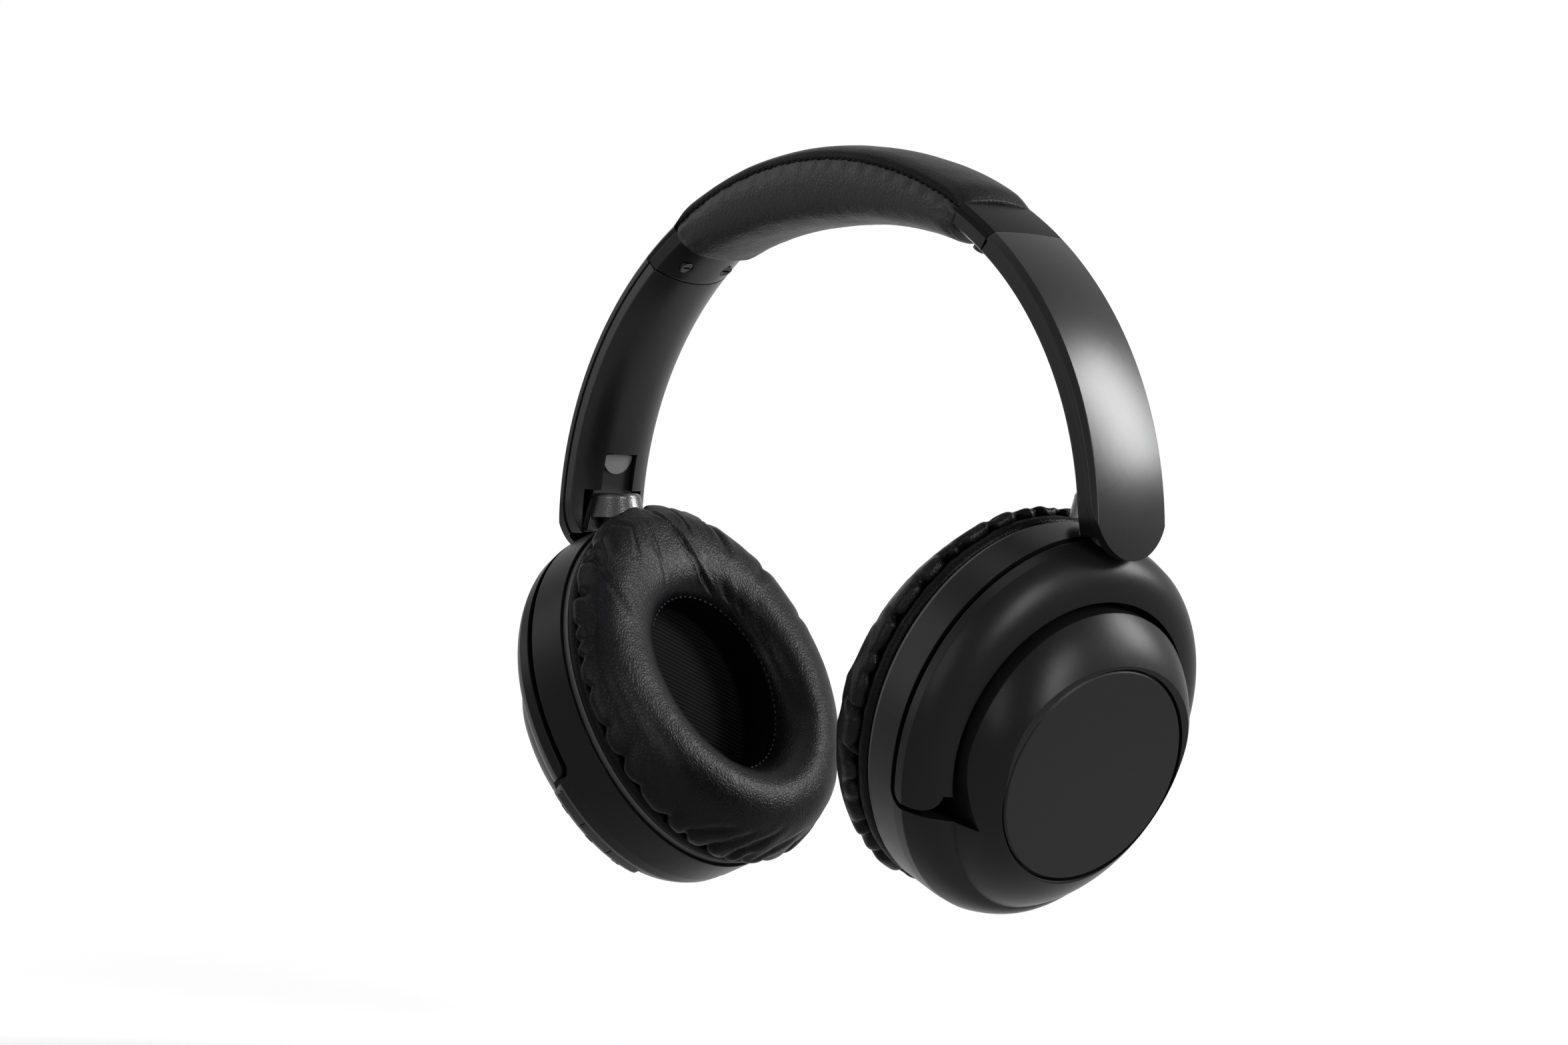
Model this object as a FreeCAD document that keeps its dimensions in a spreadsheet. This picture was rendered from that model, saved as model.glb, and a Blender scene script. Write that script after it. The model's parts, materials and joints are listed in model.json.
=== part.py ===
import FreeCAD, Part
import Sketcher
import math
import os

# Over ear headphones.  Origin: centre of the headband arc, with +Z up, +Y the way
# the wearer faces, +X to the wearer's right.  The right-hand side is drawn and the
# left-hand side is its mirror image, apart from the keys and sockets of the left cup.

document = FreeCAD.newDocument("OverEarHeadphones")
sheet = document.addObject("Spreadsheet::Sheet", "size")

SIZES = [
    ("band_radius", 91.0, "outer radius of the headband and of both arms"),
    ("arm_width", 25.5, "width of an arm, front to back"),
    ("arm_edge", 5.9, "thickness of an arm at its edges"),
    ("arm_depth", 9.6, "thickness of an arm along its middle"),
    ("face_crown", 0.5, "rise of the outer face above its edges"),
    ("edge_bevel", 1.2, "bevel along the outer face"),
    ("cover_split", 2.9, "depth of the seam between outer and inner covers"),
    ("cushion_angle", 32.2, "half angle covered by the head cushion"),
    ("collar_angle", 40.0, "angle where the collar meets the arm"),
    ("arm_angle", 96.0, "angle swept before the tip of the arm is rounded"),
    ("tip_drop", 5.9, "how far the tip of an arm hangs below the arc centre"),
    ("tip_length", 13.9, "length of the rounded tip"),
    ("cover_rise", 2.4, "rise of the padded top cover"),
    ("cushion_middle", 16.5, "head cushion thickness at the crown"),
    ("cushion_end", 11.3, "head cushion thickness at the collars"),
    ("core_width", 16.0, "width of the spring strip inside the headband"),
    ("screw_angle", 36.8, "angle of the collar screws"),
    ("screw_spread", 6.8, "distance of a collar screw from the middle"),
    ("plate_width", 13.0, "width of the sliding plate"),
    ("plate_thickness", 1.6, "thickness of the sliding plate"),
    ("plate_depth", 7.3, "depth of the inner face of the sliding plate"),
    ("plate_top_angle", 52.0, "angle of the upper end of the sliding plate"),
    ("plate_end_angle", 84.3, "angle of the lower end of the sliding plate"),
    ("notch_count", 9, "click notches in the sliding plate"),
    ("window_angle", 76.0, "angle of the upper edge of the side mark window"),
    ("window_width", 10.6, "width of the side mark window"),
    ("recess_angle", 82.7, "angle where the knuckle recess starts"),
    ("recess_width", 19.4, "width of the knuckle recess"),
    ("swivel_reach", 82.0, "distance of the swivel axis from the middle"),
    ("knuckle_foot", 8.8, "radius of the knuckle at its foot"),
    ("knuckle_head", 6.7, "radius of the knuckle at its head"),
    ("knuckle_top", 9.9, "height of the head of the knuckle"),
    ("knuckle_step", 3.6, "height of the notch over the cup"),
    ("stem_radius", 4.5, "radius of the yoke stem"),
    ("stem_top", 5.6, "height of the top of the yoke stem"),
    ("running_gap", 0.05, "radial running clearance of the pivots"),
    ("cup_reach", 55.9, "cup centre from the middle"),
    ("cup_drop", 38.6, "cup centre below the arc centre"),
    ("cup_lean", 21.8, "lean of the cup, feet inward"),
    ("cup_yaw", 5.2, "rest turn of the cup about its stem"),
    ("rim_half_width", 41.6, "half width of the cup at the cushion side"),
    ("rim_top", 44.8, "height of the cup rim above its centre"),
    ("rim_bottom", 48.0, "depth of the cup rim below its centre"),
    ("waist_height", 10.2, "height of the widest section of the cup"),
    ("waist_half_width", 42.8, "half width of the widest section"),
    ("crease_height", 13.4, "height of the crease round the cup"),
    ("crease_half_width", 43.0, "half width at the crease"),
    ("crease_top", 44.0, "height of the crease above the cup centre"),
    ("brow_height", 17.2, "height of the fullest part of the outer slope"),
    ("brow_half_width", 40.3, "half width of the outer slope at the brow"),
    ("brow_top", 41.2, "height of the brow above the cup centre"),
    ("brow_bottom", 46.2, "depth of the brow below the cup centre"),
    ("knee_height", 20.3, "height where the dome starts"),
    ("knee_radius", 33.2, "radius where the dome starts"),
    ("knee_bottom", 42.9, "depth of the knee below the cup centre"),
    ("cap_height", 30.5, "height of the round cap"),
    ("cap_radius", 25.9, "radius of the round cap"),
    ("cap_offset", 5.0, "how far the cap sits below the cup centre"),
    ("wall", 2.2, "wall thickness of the cup housings"),
    ("channel_floor", 9.2, "floor height of the yoke channel"),
    ("channel_gap", 1.6, "gap round the yoke in its channel"),
    ("dome_radius", 32.4, "radius of the dome inside the yoke"),
    ("yoke_end_drop", 14.0, "yoke pivots below the cup centre"),
    ("yoke_end_radius", 4.7, "radius of a yoke end"),
    ("yoke_rounding", 2.7, "rounding of the inner corner of a yoke end"),
    ("yoke_end_reach", 38.5, "centre of a yoke end from the middle of the cup"),
    ("pivot_height", 13.6, "height of the tilt axis"),
    ("pivot_radius", 1.6, "radius of a tilt pin"),
    ("cushion_depth", 20.4, "thickness of an ear cushion"),
    ("opening_half_width", 22.0, "half width of the ear opening"),
    ("opening_top", 24.5, "half height of the ear opening, upper part"),
    ("opening_bottom", 27.0, "half height of the ear opening, lower part"),
    ("driver_radius", 20.0, "radius of the driver"),
    ("key_start", 210.0, "angle where the row of keys starts"),
    ("key_end", 249.0, "angle where the row of keys ends"),
    ("key_width", 5.2, "width of a key across the row"),
    ("key_rise", 0.35, "how far a key stands proud"),
    ("key_gap", 0.2, "gap round a key"),
    ("jack_radius", 1.78, "radius of the audio socket bore"),
    ("jack_length", 14.0, "depth of the audio socket bore"),
]
for row, (name, value, note) in enumerate(SIZES, start=1):
    sheet.set(f"A{row}", name)
    sheet.set(f"B{row}", str(value))
    sheet.set(f"C{row}", note)
    sheet.setAlias(f"B{row}", name)
document.recompute()


def size(name):
    return float(sheet.get(name))


cup_place = FreeCAD.Placement(
    FreeCAD.Vector(size("cup_reach"), 0, -size("cup_drop")),
    FreeCAD.Rotation(-size("cup_yaw"), size("cup_lean"), 0),
)


def amount(sketch, value):
    """A number as it is, or the value of a formula over the sheet."""
    if isinstance(value, str):
        return float(sketch.evalExpression(value))
    return float(value)


def new_body(name):
    return document.addObject("PartDesign::Body", name)


def new_sketch(body, plane, name, offset=None, turn=None):
    """A sketch on one of the body's own planes, moved along its normal or turned."""
    sketch = body.newObject("Sketcher::SketchObject", name)
    role = plane + "_Plane"
    for feature in body.Origin.OriginFeatures:
        if feature.Role == role:
            sketch.AttachmentSupport = [(feature, "")]
    sketch.MapMode = "FlatFace"
    if turn is not None:
        angle = FreeCAD.Rotation(FreeCAD.Vector(1, 0, 0), turn)
        sketch.AttachmentOffset = FreeCAD.Placement(FreeCAD.Vector(), angle)
    if offset is not None:
        if isinstance(offset, str):
            sketch.setExpression("AttachmentOffset.Base.z", offset)
        else:
            sketch.AttachmentOffset.Base.z = offset
    document.recompute()
    return sketch


def arc_through(first, middle, last):
    """The arc of a circle through three points, and whether it runs from the first."""
    ax, ay = first
    bx, by = middle
    cx, cy = last
    d = 2 * (ax * (by - cy) + bx * (cy - ay) + cx * (ay - by))
    a2, b2, c2 = ax * ax + ay * ay, bx * bx + by * by, cx * cx + cy * cy
    ux = (a2 * (by - cy) + b2 * (cy - ay) + c2 * (ay - by)) / d
    uy = (a2 * (cx - bx) + b2 * (ax - cx) + c2 * (bx - ax)) / d
    radius = math.hypot(ax - ux, ay - uy)
    start = math.atan2(ay - uy, ax - ux)
    end = math.atan2(cy - uy, cx - ux)
    forward = d > 0
    if not forward:
        start, end = end, start
    if end < start:
        end += 2 * math.pi
    circle = Part.Circle(FreeCAD.Vector(ux, uy, 0), FreeCAD.Vector(0, 0, 1), radius)
    return Part.ArcOfCircle(circle, start, end), forward


def bind(sketch, kind, first, second, value):
    """A horizontal or vertical distance between two points, held by its formula."""
    number = amount(sketch, value)
    index = sketch.addConstraint(Sketcher.Constraint(kind, *first, *second, number))
    if isinstance(value, str):
        sketch.setExpression(f"Constraints[{index}]", value)


def outline(sketch, corners, arcs=None):
    """A closed outline of lines and arcs with every corner held by its own formulas."""
    arcs = arcs or {}
    points = [(amount(sketch, x), amount(sketch, y)) for x, y in corners]
    starts, ends = [], []
    for index, point in enumerate(points):
        after = points[(index + 1) % len(points)]
        if index in arcs:
            x, y = arcs[index]
            middle = (amount(sketch, x), amount(sketch, y))
            curve, forward = arc_through(point, middle, after)
        else:
            curve = Part.LineSegment(
                FreeCAD.Vector(*point, 0), FreeCAD.Vector(*after, 0)
            )
            forward = True
        key = sketch.addGeometry(curve, False)
        starts.append((key, 1 if forward else 2))
        ends.append((key, 2 if forward else 1))
    for index, (x, y) in enumerate(corners):
        meeting = Sketcher.Constraint("Coincident", *ends[index - 1], *starts[index])
        sketch.addConstraint(meeting)
        bind(sketch, "DistanceX", (-1, 1), starts[index], x)
        bind(sketch, "DistanceY", (-1, 1), starts[index], y)
    return sketch


def oval(sketch, half_width, top, bottom, middle=0.0):
    """Two half ellipses that share their width."""
    centre = FreeCAD.Vector(0, middle, 0)
    for height, sign in ((top, 1), (bottom, -1)):
        across = FreeCAD.Vector(half_width * sign, middle, 0)
        along = FreeCAD.Vector(0, middle + height * sign, 0)
        if height > half_width:
            whole = Part.Ellipse(along, -across + 2 * centre, centre)
            arc = Part.ArcOfEllipse(whole, -math.pi / 2, math.pi / 2)
        elif height < half_width:
            whole = Part.Ellipse(across, along, centre)
            arc = Part.ArcOfEllipse(whole, 0, math.pi)
        else:
            whole = Part.Circle(centre, FreeCAD.Vector(0, 0, 1), half_width)
            start = 0 if sign > 0 else math.pi
            arc = Part.ArcOfCircle(whole, start, start + math.pi)
        sketch.addGeometry(arc, False)
    sketch.addConstraint(Sketcher.Constraint("Coincident", 0, 2, 1, 1))
    sketch.addConstraint(Sketcher.Constraint("Coincident", 1, 2, 0, 1))
    return sketch


def circle(sketch, radius, x=0.0, y=0.0):
    """A circle whose radius is held by its formula."""
    centre = FreeCAD.Vector(amount(sketch, x), amount(sketch, y), 0)
    shape = Part.Circle(centre, FreeCAD.Vector(0, 0, 1), amount(sketch, radius))
    key = sketch.addGeometry(shape, False)
    bind(sketch, "DistanceX", (-1, 1), (key, 3), x)
    bind(sketch, "DistanceY", (-1, 1), (key, 3), y)
    index = sketch.addConstraint(
        Sketcher.Constraint("Radius", key, amount(sketch, radius))
    )
    if isinstance(radius, str):
        sketch.setExpression(f"Constraints[{index}]", radius)
    return sketch


def revolve(body, sketch, angle, axis="H_Axis", both=False):
    turned = body.newObject("PartDesign::Revolution", body.Name + "Turn")
    turned.Profile = sketch
    turned.ReferenceAxis = (sketch, [axis])
    turned.Midplane = both
    if isinstance(angle, str):
        turned.setExpression("Angle", angle)
    else:
        turned.Angle = angle
    document.recompute()
    return turned


def pad(body, sketch, length, both=False, back=False):
    raised = body.newObject("PartDesign::Pad", sketch.Name + "Pad")
    raised.Profile = sketch
    if isinstance(length, str):
        raised.setExpression("Length", length)
    else:
        raised.Length = length
    raised.Midplane = both
    raised.Reversed = back
    document.recompute()
    return raised


def pocket(body, sketch, length, back=False, both=False):
    """A pocket that must take something away."""
    before = body.Shape.Volume
    cut = body.newObject("PartDesign::Pocket", sketch.Name + "Pocket")
    cut.Profile = sketch
    if isinstance(length, str):
        cut.setExpression("Length", length)
    else:
        cut.Length = length
    cut.Reversed = back
    cut.Midplane = both
    document.recompute()
    if body.Shape.Volume > before - 0.01:
        raise RuntimeError(f"{sketch.Name} cuts nothing")
    return cut


def loft(body, sketches):
    blended = body.newObject("PartDesign::AdditiveLoft", body.Name + "Loft")
    blended.Profile = (sketches[0], [""])
    blended.Sections = [(sketch, [""]) for sketch in sketches[1:]]
    blended.Ruled = False
    document.recompute()
    return blended


def turn_about_band(item, angle):
    """Turns an item about the axis of the headband arc."""
    rotation = FreeCAD.Rotation(FreeCAD.Vector(0, 1, 0), size(angle))
    item.Placement = FreeCAD.Placement(FreeCAD.Vector(), rotation)
    item.setExpression("Placement.Rotation.Angle", f"size.{angle} * 1 deg")


def put_on_cup(item, lift=0.0):
    """Stands an item in the frame of the right cup: X outward, Y forward, Z up it."""
    item.Placement = cup_place.multiply(
        FreeCAD.Placement(FreeCAD.Vector(0, 0, lift), FreeCAD.Rotation())
    )


def box(name, corner, lengths):
    block = document.addObject("Part::Box", name)
    block.Length, block.Width, block.Height = lengths
    block.Placement.Base = FreeCAD.Vector(*corner)
    return block


def rod(name, start, direction, radius, length):
    """A round bar from a point along a direction."""
    bar = document.addObject("Part::Cylinder", name)
    if isinstance(radius, str):
        bar.setExpression("Radius", radius)
    else:
        bar.Radius = radius
    bar.Height = length
    turn = FreeCAD.Rotation(FreeCAD.Vector(0, 0, 1), FreeCAD.Vector(*direction))
    bar.Placement = FreeCAD.Placement(FreeCAD.Vector(*start), turn)
    return bar


def on_cup(item):
    """Carries a plain solid drawn in cup coordinates into place on the right cup."""
    local = item.Placement
    item.Placement = cup_place.multiply(local)
    return item


def cut(name, base, *tools):
    result = base
    for index, tool in enumerate(tools):
        last = index == len(tools) - 1
        step = document.addObject("Part::Cut", name if last else f"{name}Cut{index}")
        step.Base = result
        step.Tool = tool
        result = step
    document.recompute()
    return result


def common(name, *items):
    result = document.addObject("Part::MultiCommon", name)
    result.Shapes = list(items)
    document.recompute()
    return result


def fuse(name, *items):
    result = document.addObject("Part::MultiFuse", name)
    result.Shapes = list(items)
    result.Refine = True
    document.recompute()
    return result


def group(name, *items):
    """Separate solids that share a name."""
    result = document.addObject("Part::Compound", name)
    result.Links = list(items)
    document.recompute()
    return result


def mirror(name, source):
    """The left-hand twin of a right-hand piece."""
    twin = document.addObject("Part::Mirroring", name)
    twin.Source = source
    twin.Base = FreeCAD.Vector(0, 0, 0)
    twin.Normal = FreeCAD.Vector(1, 0, 0)
    document.recompute()
    return twin


pieces = {}

# ---- headband: every section is turned about the axis of the arc ----


def ring_body(name, corners, start, sweep, arcs=None):
    """A section drawn at the crown and swept round the arc from a starting angle."""
    body = new_body(name)
    section = new_sketch(body, "YZ", name + "Section")
    outline(section, corners, arcs)
    revolve(body, section, sweep)
    if start:
        turn_about_band(body, start)
    return body


def slab(half_width, inner, outer):
    """Corners of a rectangular section between two depths below the outer radius."""
    low = f"size.band_radius - ({inner})"
    high = f"size.band_radius - ({outer})"
    return [
        (f"-({half_width})", low),
        (half_width, low),
        (half_width, high),
        (f"-({half_width})", high),
    ]


half = "size.arm_width / 2"
outer_section = [
    (f"-({half})", "size.band_radius - size.cover_split"),
    (half, "size.band_radius - size.cover_split"),
    (half, "size.band_radius - size.face_crown - size.edge_bevel"),
    (f"{half} - size.edge_bevel", "size.band_radius - size.face_crown"),
    (f"size.edge_bevel - {half}", "size.band_radius - size.face_crown"),
    (f"-({half})", "size.band_radius - size.face_crown - size.edge_bevel"),
]
outer_arcs = {3: (0.0, "size.band_radius")}
inner_section = [
    (f"-({half})", "size.band_radius - size.cover_split"),
    (f"0.4 - {half}", "size.band_radius - size.arm_edge"),
    (f"{half} - 0.4", "size.band_radius - size.arm_edge"),
    (half, "size.band_radius - size.cover_split"),
]
inner_arcs = {1: (0.0, "size.band_radius - size.arm_depth")}

core_sweep = "2 * size.collar_angle + 12"
core = new_body("headband_spring")
core_section = new_sketch(core, "YZ", "springSection")
outline(core_section, slab("size.core_width / 2", 5.2, 3.1))
revolve(core, core_section, core_sweep, both=True)

core_room = new_body("springRoom")
room_section = new_sketch(core_room, "YZ", "springRoomSection")
outline(room_section, slab("size.core_width / 2 + 0.05", 5.25, 3.05))
revolve(core_room, room_section, "2 * size.collar_angle + 12.4", both=True)

top_cover = new_body("headband_top_cover")
top_section = new_sketch(top_cover, "YZ", "topCoverSection")
outline(
    top_section,
    [
        (f"1.6 - {half}", "size.band_radius - 3.05"),
        (f"{half} - 1.6", "size.band_radius - 3.05"),
        (f"{half} - 0.1", "size.band_radius - 1.4"),
        (f"0.1 - {half}", "size.band_radius - 1.4"),
    ],
    {2: (0.0, "size.band_radius + size.cover_rise")},
)
revolve(top_cover, top_section, "2 * size.cushion_angle - 0.2", both=True)
pieces["headband_top_cover"] = top_cover

cushion_form = new_body("cushionForm")
cushion_sections = []
SECTION_COUNT = 9
for step in range(SECTION_COUNT):
    share = 2 * step / (SECTION_COUNT - 1) - 1
    angle = share * (size("cushion_angle") - 0.1)
    drop = size("cushion_middle") - size("cushion_end")
    depth = size("cushion_middle") - drop * abs(share) ** 1.8
    radius = size("band_radius")
    edge = size("arm_width") / 2
    section = new_sketch(cushion_form, "YZ", f"cushionSection{step}", turn=-angle)
    outline(
        section,
        [
            (edge, radius - 1.2),
            (-edge, radius - 1.2),
            (-edge + 0.1, radius - 0.62 * depth),
            (edge - 0.1, radius - 0.62 * depth),
        ],
        {
            1: (-edge - 0.8, radius - 0.34 * depth),
            2: (0.0, radius - depth),
            3: (edge + 0.8, radius - 0.34 * depth),
        },
    )
    cushion_sections.append(section)
loft(cushion_form, cushion_sections)

cushion_lid = new_body("cushionLid")
lid_section = new_sketch(cushion_lid, "YZ", "cushionLidSection")
outline(
    lid_section,
    [
        (f"1.6 - {half}", "size.band_radius - 3.05"),
        (f"{half} - 1.6", "size.band_radius - 3.05"),
        (f"{half} - 0.1", "size.band_radius - 1.45"),
        (f"{half} + 3", "size.band_radius - 1.45"),
        (f"{half} + 3", "size.band_radius + 6"),
        (f"-({half}) - 3", "size.band_radius + 6"),
        (f"-({half}) - 3", "size.band_radius - 1.45"),
        (f"0.1 - {half}", "size.band_radius - 1.45"),
    ],
)
revolve(cushion_lid, lid_section, "2 * size.cushion_angle + 4", both=True)
pieces["headband_cushion"] = cut("headband_cushion", cushion_form, cushion_lid, core_room)

# ---- collars and arms ----

collar_sweep = "size.collar_angle - size.cushion_angle"
collar_outer = ring_body(
    "collar_outer_R", outer_section, "cushion_angle", collar_sweep, outer_arcs
)
collar_form = ring_body(
    "collarForm", inner_section, "cushion_angle", collar_sweep, inner_arcs
)
screw_tools, head_tools, screws = [], [], []
tilt = math.radians(size("screw_angle"))
outward = (math.sin(tilt), 0, math.cos(tilt))


def band_point(depth, across):
    """A point on the collar screw line at a depth below the outer radius."""
    reach = size("band_radius") - depth
    return (outward[0] * reach, across, outward[2] * reach)


for side, across in (("Front", size("screw_spread")), ("Back", -size("screw_spread"))):
    head_tools.append(
        rod("headRoom" + side, band_point(12, across), outward, 1.8, 4.4)
    )
    screw_tools.append(
        rod("screwRoom" + side, band_point(12, across), outward, 0.9, 9.0)
    )
    head = rod("screwHead" + side, band_point(8.8, across), outward, 1.7, 1.2)
    shank = rod("screwShank" + side, band_point(7.8, across), outward, 0.9, 4.8)
    slot = box("screwSlot" + side, (-0.3, -1.1, 0), (0.6, 2.2, 0.6))
    slot.Placement = FreeCAD.Placement(
        FreeCAD.Vector(*band_point(8.8, across)),
        FreeCAD.Rotation(FreeCAD.Vector(0, 0, 1), FreeCAD.Vector(*outward)),
    ).multiply(FreeCAD.Placement(FreeCAD.Vector(-0.3, -1.1, 0), FreeCAD.Rotation()))
    joined = fuse("screwBlank" + side, head, shank)
    screws.append(cut("collarScrew" + side, joined, slot))
pieces["collar_outer_R"] = collar_outer
pieces["collar_inner_R"] = cut(
    "collar_inner_R", collar_form, core_room, *head_tools, *screw_tools
)
pieces["collar_screws_R"] = group("collar_screws_R", *screws)
left_tools = [mirror(tool.Name + "Left", tool) for tool in screw_tools]
drilled_core = cut("springDrilled", core, *screw_tools, *left_tools)

arm_sweep = "size.arm_angle - size.collar_angle"
arm_outer_form = ring_body(
    "armOuterForm", outer_section, "collar_angle", arm_sweep, outer_arcs
)
arm_inner_form = ring_body(
    "armInnerForm", inner_section, "collar_angle", arm_sweep, inner_arcs
)


def tip_form(name, inset):
    """A block whose lower end is the rounded tip seen from the side."""
    body = new_body(name)
    sketch = new_sketch(body, "YZ", name + "Outline")
    edge = size("arm_width") / 2 + 0.01 - inset
    start = size("tip_length") - size("tip_drop")
    reach = size("tip_length") - inset
    points = [(edge, start), (edge, 120), (-edge, 120), (-edge, start)]
    for index in range(3):
        first = FreeCAD.Vector(*points[index], 0)
        last = FreeCAD.Vector(*points[index + 1], 0)
        sketch.addGeometry(Part.LineSegment(first, last), False)
    centre = FreeCAD.Vector(0, start, 0)
    below = FreeCAD.Vector(0, start - reach, 0)
    whole = Part.Ellipse(below, centre + FreeCAD.Vector(edge, 0, 0), centre)
    sketch.addGeometry(Part.ArcOfEllipse(whole, -math.pi / 2, math.pi / 2), False)
    for index in range(3):
        sketch.addConstraint(
            Sketcher.Constraint("Coincident", index, 2, index + 1, 1)
        )
    sketch.addConstraint(Sketcher.Constraint("Coincident", 3, 2, 0, 1))
    pad(body, sketch, 120)
    return body


outer_tip = tip_form("outerTip", 0.0)
inner_tip = tip_form("innerTip", 0.35)
recess = ring_body(
    "knuckleRecess",
    slab("size.recess_width / 2", 30, 2.4),
    "recess_angle",
    20.0,
)
window = ring_body(
    "markWindow",
    slab("size.window_width / 2", 16, 6.6),
    "window_angle",
    "size.recess_angle - size.window_angle + 1",
)
channel = ring_body(
    "plateChannel",
    [
        ("-size.plate_width / 2 - 0.3", "size.band_radius - size.plate_depth - 0.15"),
        ("size.plate_width / 2 + 0.3", "size.band_radius - size.plate_depth - 0.15"),
        ("size.plate_width / 2 + 0.3", "size.band_radius - 5.5"),
        (5.3, "size.band_radius - 5.5"),
        (5.3, "size.band_radius - size.cover_split"),
        (-5.3, "size.band_radius - size.cover_split"),
        (-5.3, "size.band_radius - 5.5"),
        ("-size.plate_width / 2 - 0.3", "size.band_radius - 5.5"),
    ],
    "plate_top_angle",
    50.0,
)
arm_outer_shape = common("armOuterTipped", arm_outer_form, outer_tip)
pieces["arm_outer_R"] = cut("arm_outer_R", arm_outer_shape, recess)
arm_inner_shape = common("armInnerTipped", arm_inner_form, inner_tip)
pieces["arm_inner_R"] = cut(
    "arm_inner_R", arm_inner_shape, core_room, channel, recess, window
)

# ---- sliding plate with its click notches, side mark and rivets ----

plate = ring_body(
    "plateBlank",
    slab(
        "size.plate_width / 2",
        "size.plate_depth",
        "size.plate_depth - size.plate_thickness",
    ),
    "plate_top_angle",
    "size.plate_end_angle - size.plate_top_angle",
)
notch_sketch = new_sketch(plate, "XZ", "notchProfile", offset="size.plate_width / 2")
notch_sketch.AttachmentOffset.Rotation = FreeCAD.Rotation()
circle(
    notch_sketch,
    0.7,
    "sin(6) * (size.band_radius - size.plate_depth)",
    "cos(6) * (size.band_radius - size.plate_depth)",
)
notch_cut = pocket(plate, notch_sketch, 1.2, both=True)
notch_row = plate.newObject("PartDesign::PolarPattern", "notchRow")
notch_row.Originals = [notch_cut]
for feature in plate.Origin.OriginFeatures:
    if feature.Role == "Y_Axis":
        notch_row.Axis = (feature, [""])
notch_row.Angle = 16.0
notch_row.setExpression("Occurrences", "size.notch_count")
plate.Tip = notch_row
document.recompute()

rivets, rivet_rooms = [], []
rivet_turn = math.radians(78.6)
rivet_way = (math.sin(rivet_turn), 0, math.cos(rivet_turn))
for side, across in (("Front", 3.0), ("Back", -3.0)):
    near = size("band_radius") - size("plate_depth")
    start = (rivet_way[0] * near, across, rivet_way[2] * near)
    rivets.append(rod("rivet" + side, start, rivet_way, 1.1, 3.4))
pieces["slider_rivets_R"] = group("slider_rivets_R", *rivets)
pieces["slider_plate_R"] = cut("slider_plate_R", plate, *rivets)

mark_ring = ring_body(
    "markRing",
    slab("size.window_width / 2 - 0.4", "size.plate_depth + 0.45", "size.plate_depth"),
    "window_angle",
    6.0,
)
mark_form = new_body("markForm")
mark_sketch = new_sketch(mark_form, "YZ", "markOutline")
mark_top = size("band_radius") * math.cos(math.radians(size("window_angle") + 0.9)) - 0.4
oval(mark_sketch, 4.9, 0.5, 4.6, mark_top - 0.9)
pad(mark_form, mark_sketch, 120)
pieces["side_mark_R"] = common("side_mark_R", mark_ring, mark_form)

# ---- knuckle: hangs from the plate and carries the yoke ----

knuckle_form = new_body("knuckleForm")
knuckle_sketch = new_sketch(knuckle_form, "XZ", "knuckleProfile")
outline(
    knuckle_sketch,
    [
        (0.0, -0.2),
        ("size.knuckle_foot", -0.2),
        ("size.knuckle_foot", 0.6),
        ("size.knuckle_head", "size.knuckle_top - 1.4"),
        ("size.knuckle_head - 1.4", "size.knuckle_top"),
        (0.0, "size.knuckle_top"),
    ],
    {3: ("size.knuckle_head - 0.41", "size.knuckle_top - 0.41")},
)
revolve(knuckle_form, knuckle_sketch, 360.0, "V_Axis")
knuckle_form.Placement.Base = FreeCAD.Vector(size("swivel_reach"), 0, 0)
knuckle_form.setExpression("Placement.Base.x", "size.swivel_reach")
knuckle_limit = rod(
    "knuckleLimit", (0, -40, 0), (0, 1, 0), "size.band_radius - 2.9", 80
)
tang = ring_body("knuckleTang", slab("5.0", 5.7, 3.3), "window_angle", 9.6)
knuckle_solid = common("knuckleTrimmed", knuckle_form, knuckle_limit)
knuckle_joined = fuse("knuckleJoined", knuckle_solid, tang)
reach = size("swivel_reach")
stem_room = rod(
    "stemRoom",
    (reach, 0, -20),
    (0, 0, 1),
    "size.stem_radius + size.running_gap",
    20 + size("stem_top") + 0.1,
)
washer_room = rod("washerRoom", (reach, 0, size("stem_top")), (0, 0, 1), 5.7, 2.5)
foot_notch = box(
    "footNotch",
    (reach - 20, -20, size("knuckle_step") - 20),
    (20.4, 40, 20),
)
pieces["knuckle_R"] = cut(
    "knuckle_R", knuckle_joined, plate, stem_room, washer_room, foot_notch, *rivets
)

# ---- cup housings, drawn in the frame of the cup ----


def section(body, name, height, half_width, top, bottom, middle=0.0):
    """An oval section of the cup at a height above the rim."""
    sketch = new_sketch(body, "YZ", name, offset=height)
    return oval(sketch, half_width, top, bottom, middle)


def cup_loft(name, rows):
    body = new_body(name)
    sketches = []
    for index, row in enumerate(rows):
        sketches.append(section(body, f"{name}Section{index}", *row))
    loft(body, sketches)
    put_on_cup(body)
    return body


cap_lip = size("cap_radius") + 1.1
waist_row = (
    "size.waist_height",
    size("waist_half_width"),
    size("rim_top") + 0.2,
    size("rim_bottom"),
)
crease_row = (
    "size.crease_height",
    size("crease_half_width"),
    size("crease_top"),
    size("rim_bottom") - 0.3,
)
rim_row = (0.0, size("rim_half_width"), size("rim_top"), size("rim_bottom"))
side_form = cup_loft("sideForm", [rim_row, waist_row])
edge_form = cup_loft("edgeForm", [waist_row, crease_row])
knee_row = ("size.knee_height", size("knee_radius"), size("knee_radius"), size("knee_bottom"))
middle_row = (
    "(size.knee_height + size.cap_height) / 2 + 0.6",
    (size("knee_radius") + cap_lip) / 2 + 0.6,
    (size("knee_radius") + cap_lip) / 2 - 1.6,
    (size("knee_bottom") + cap_lip) / 2 + 3.4,
)
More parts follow.
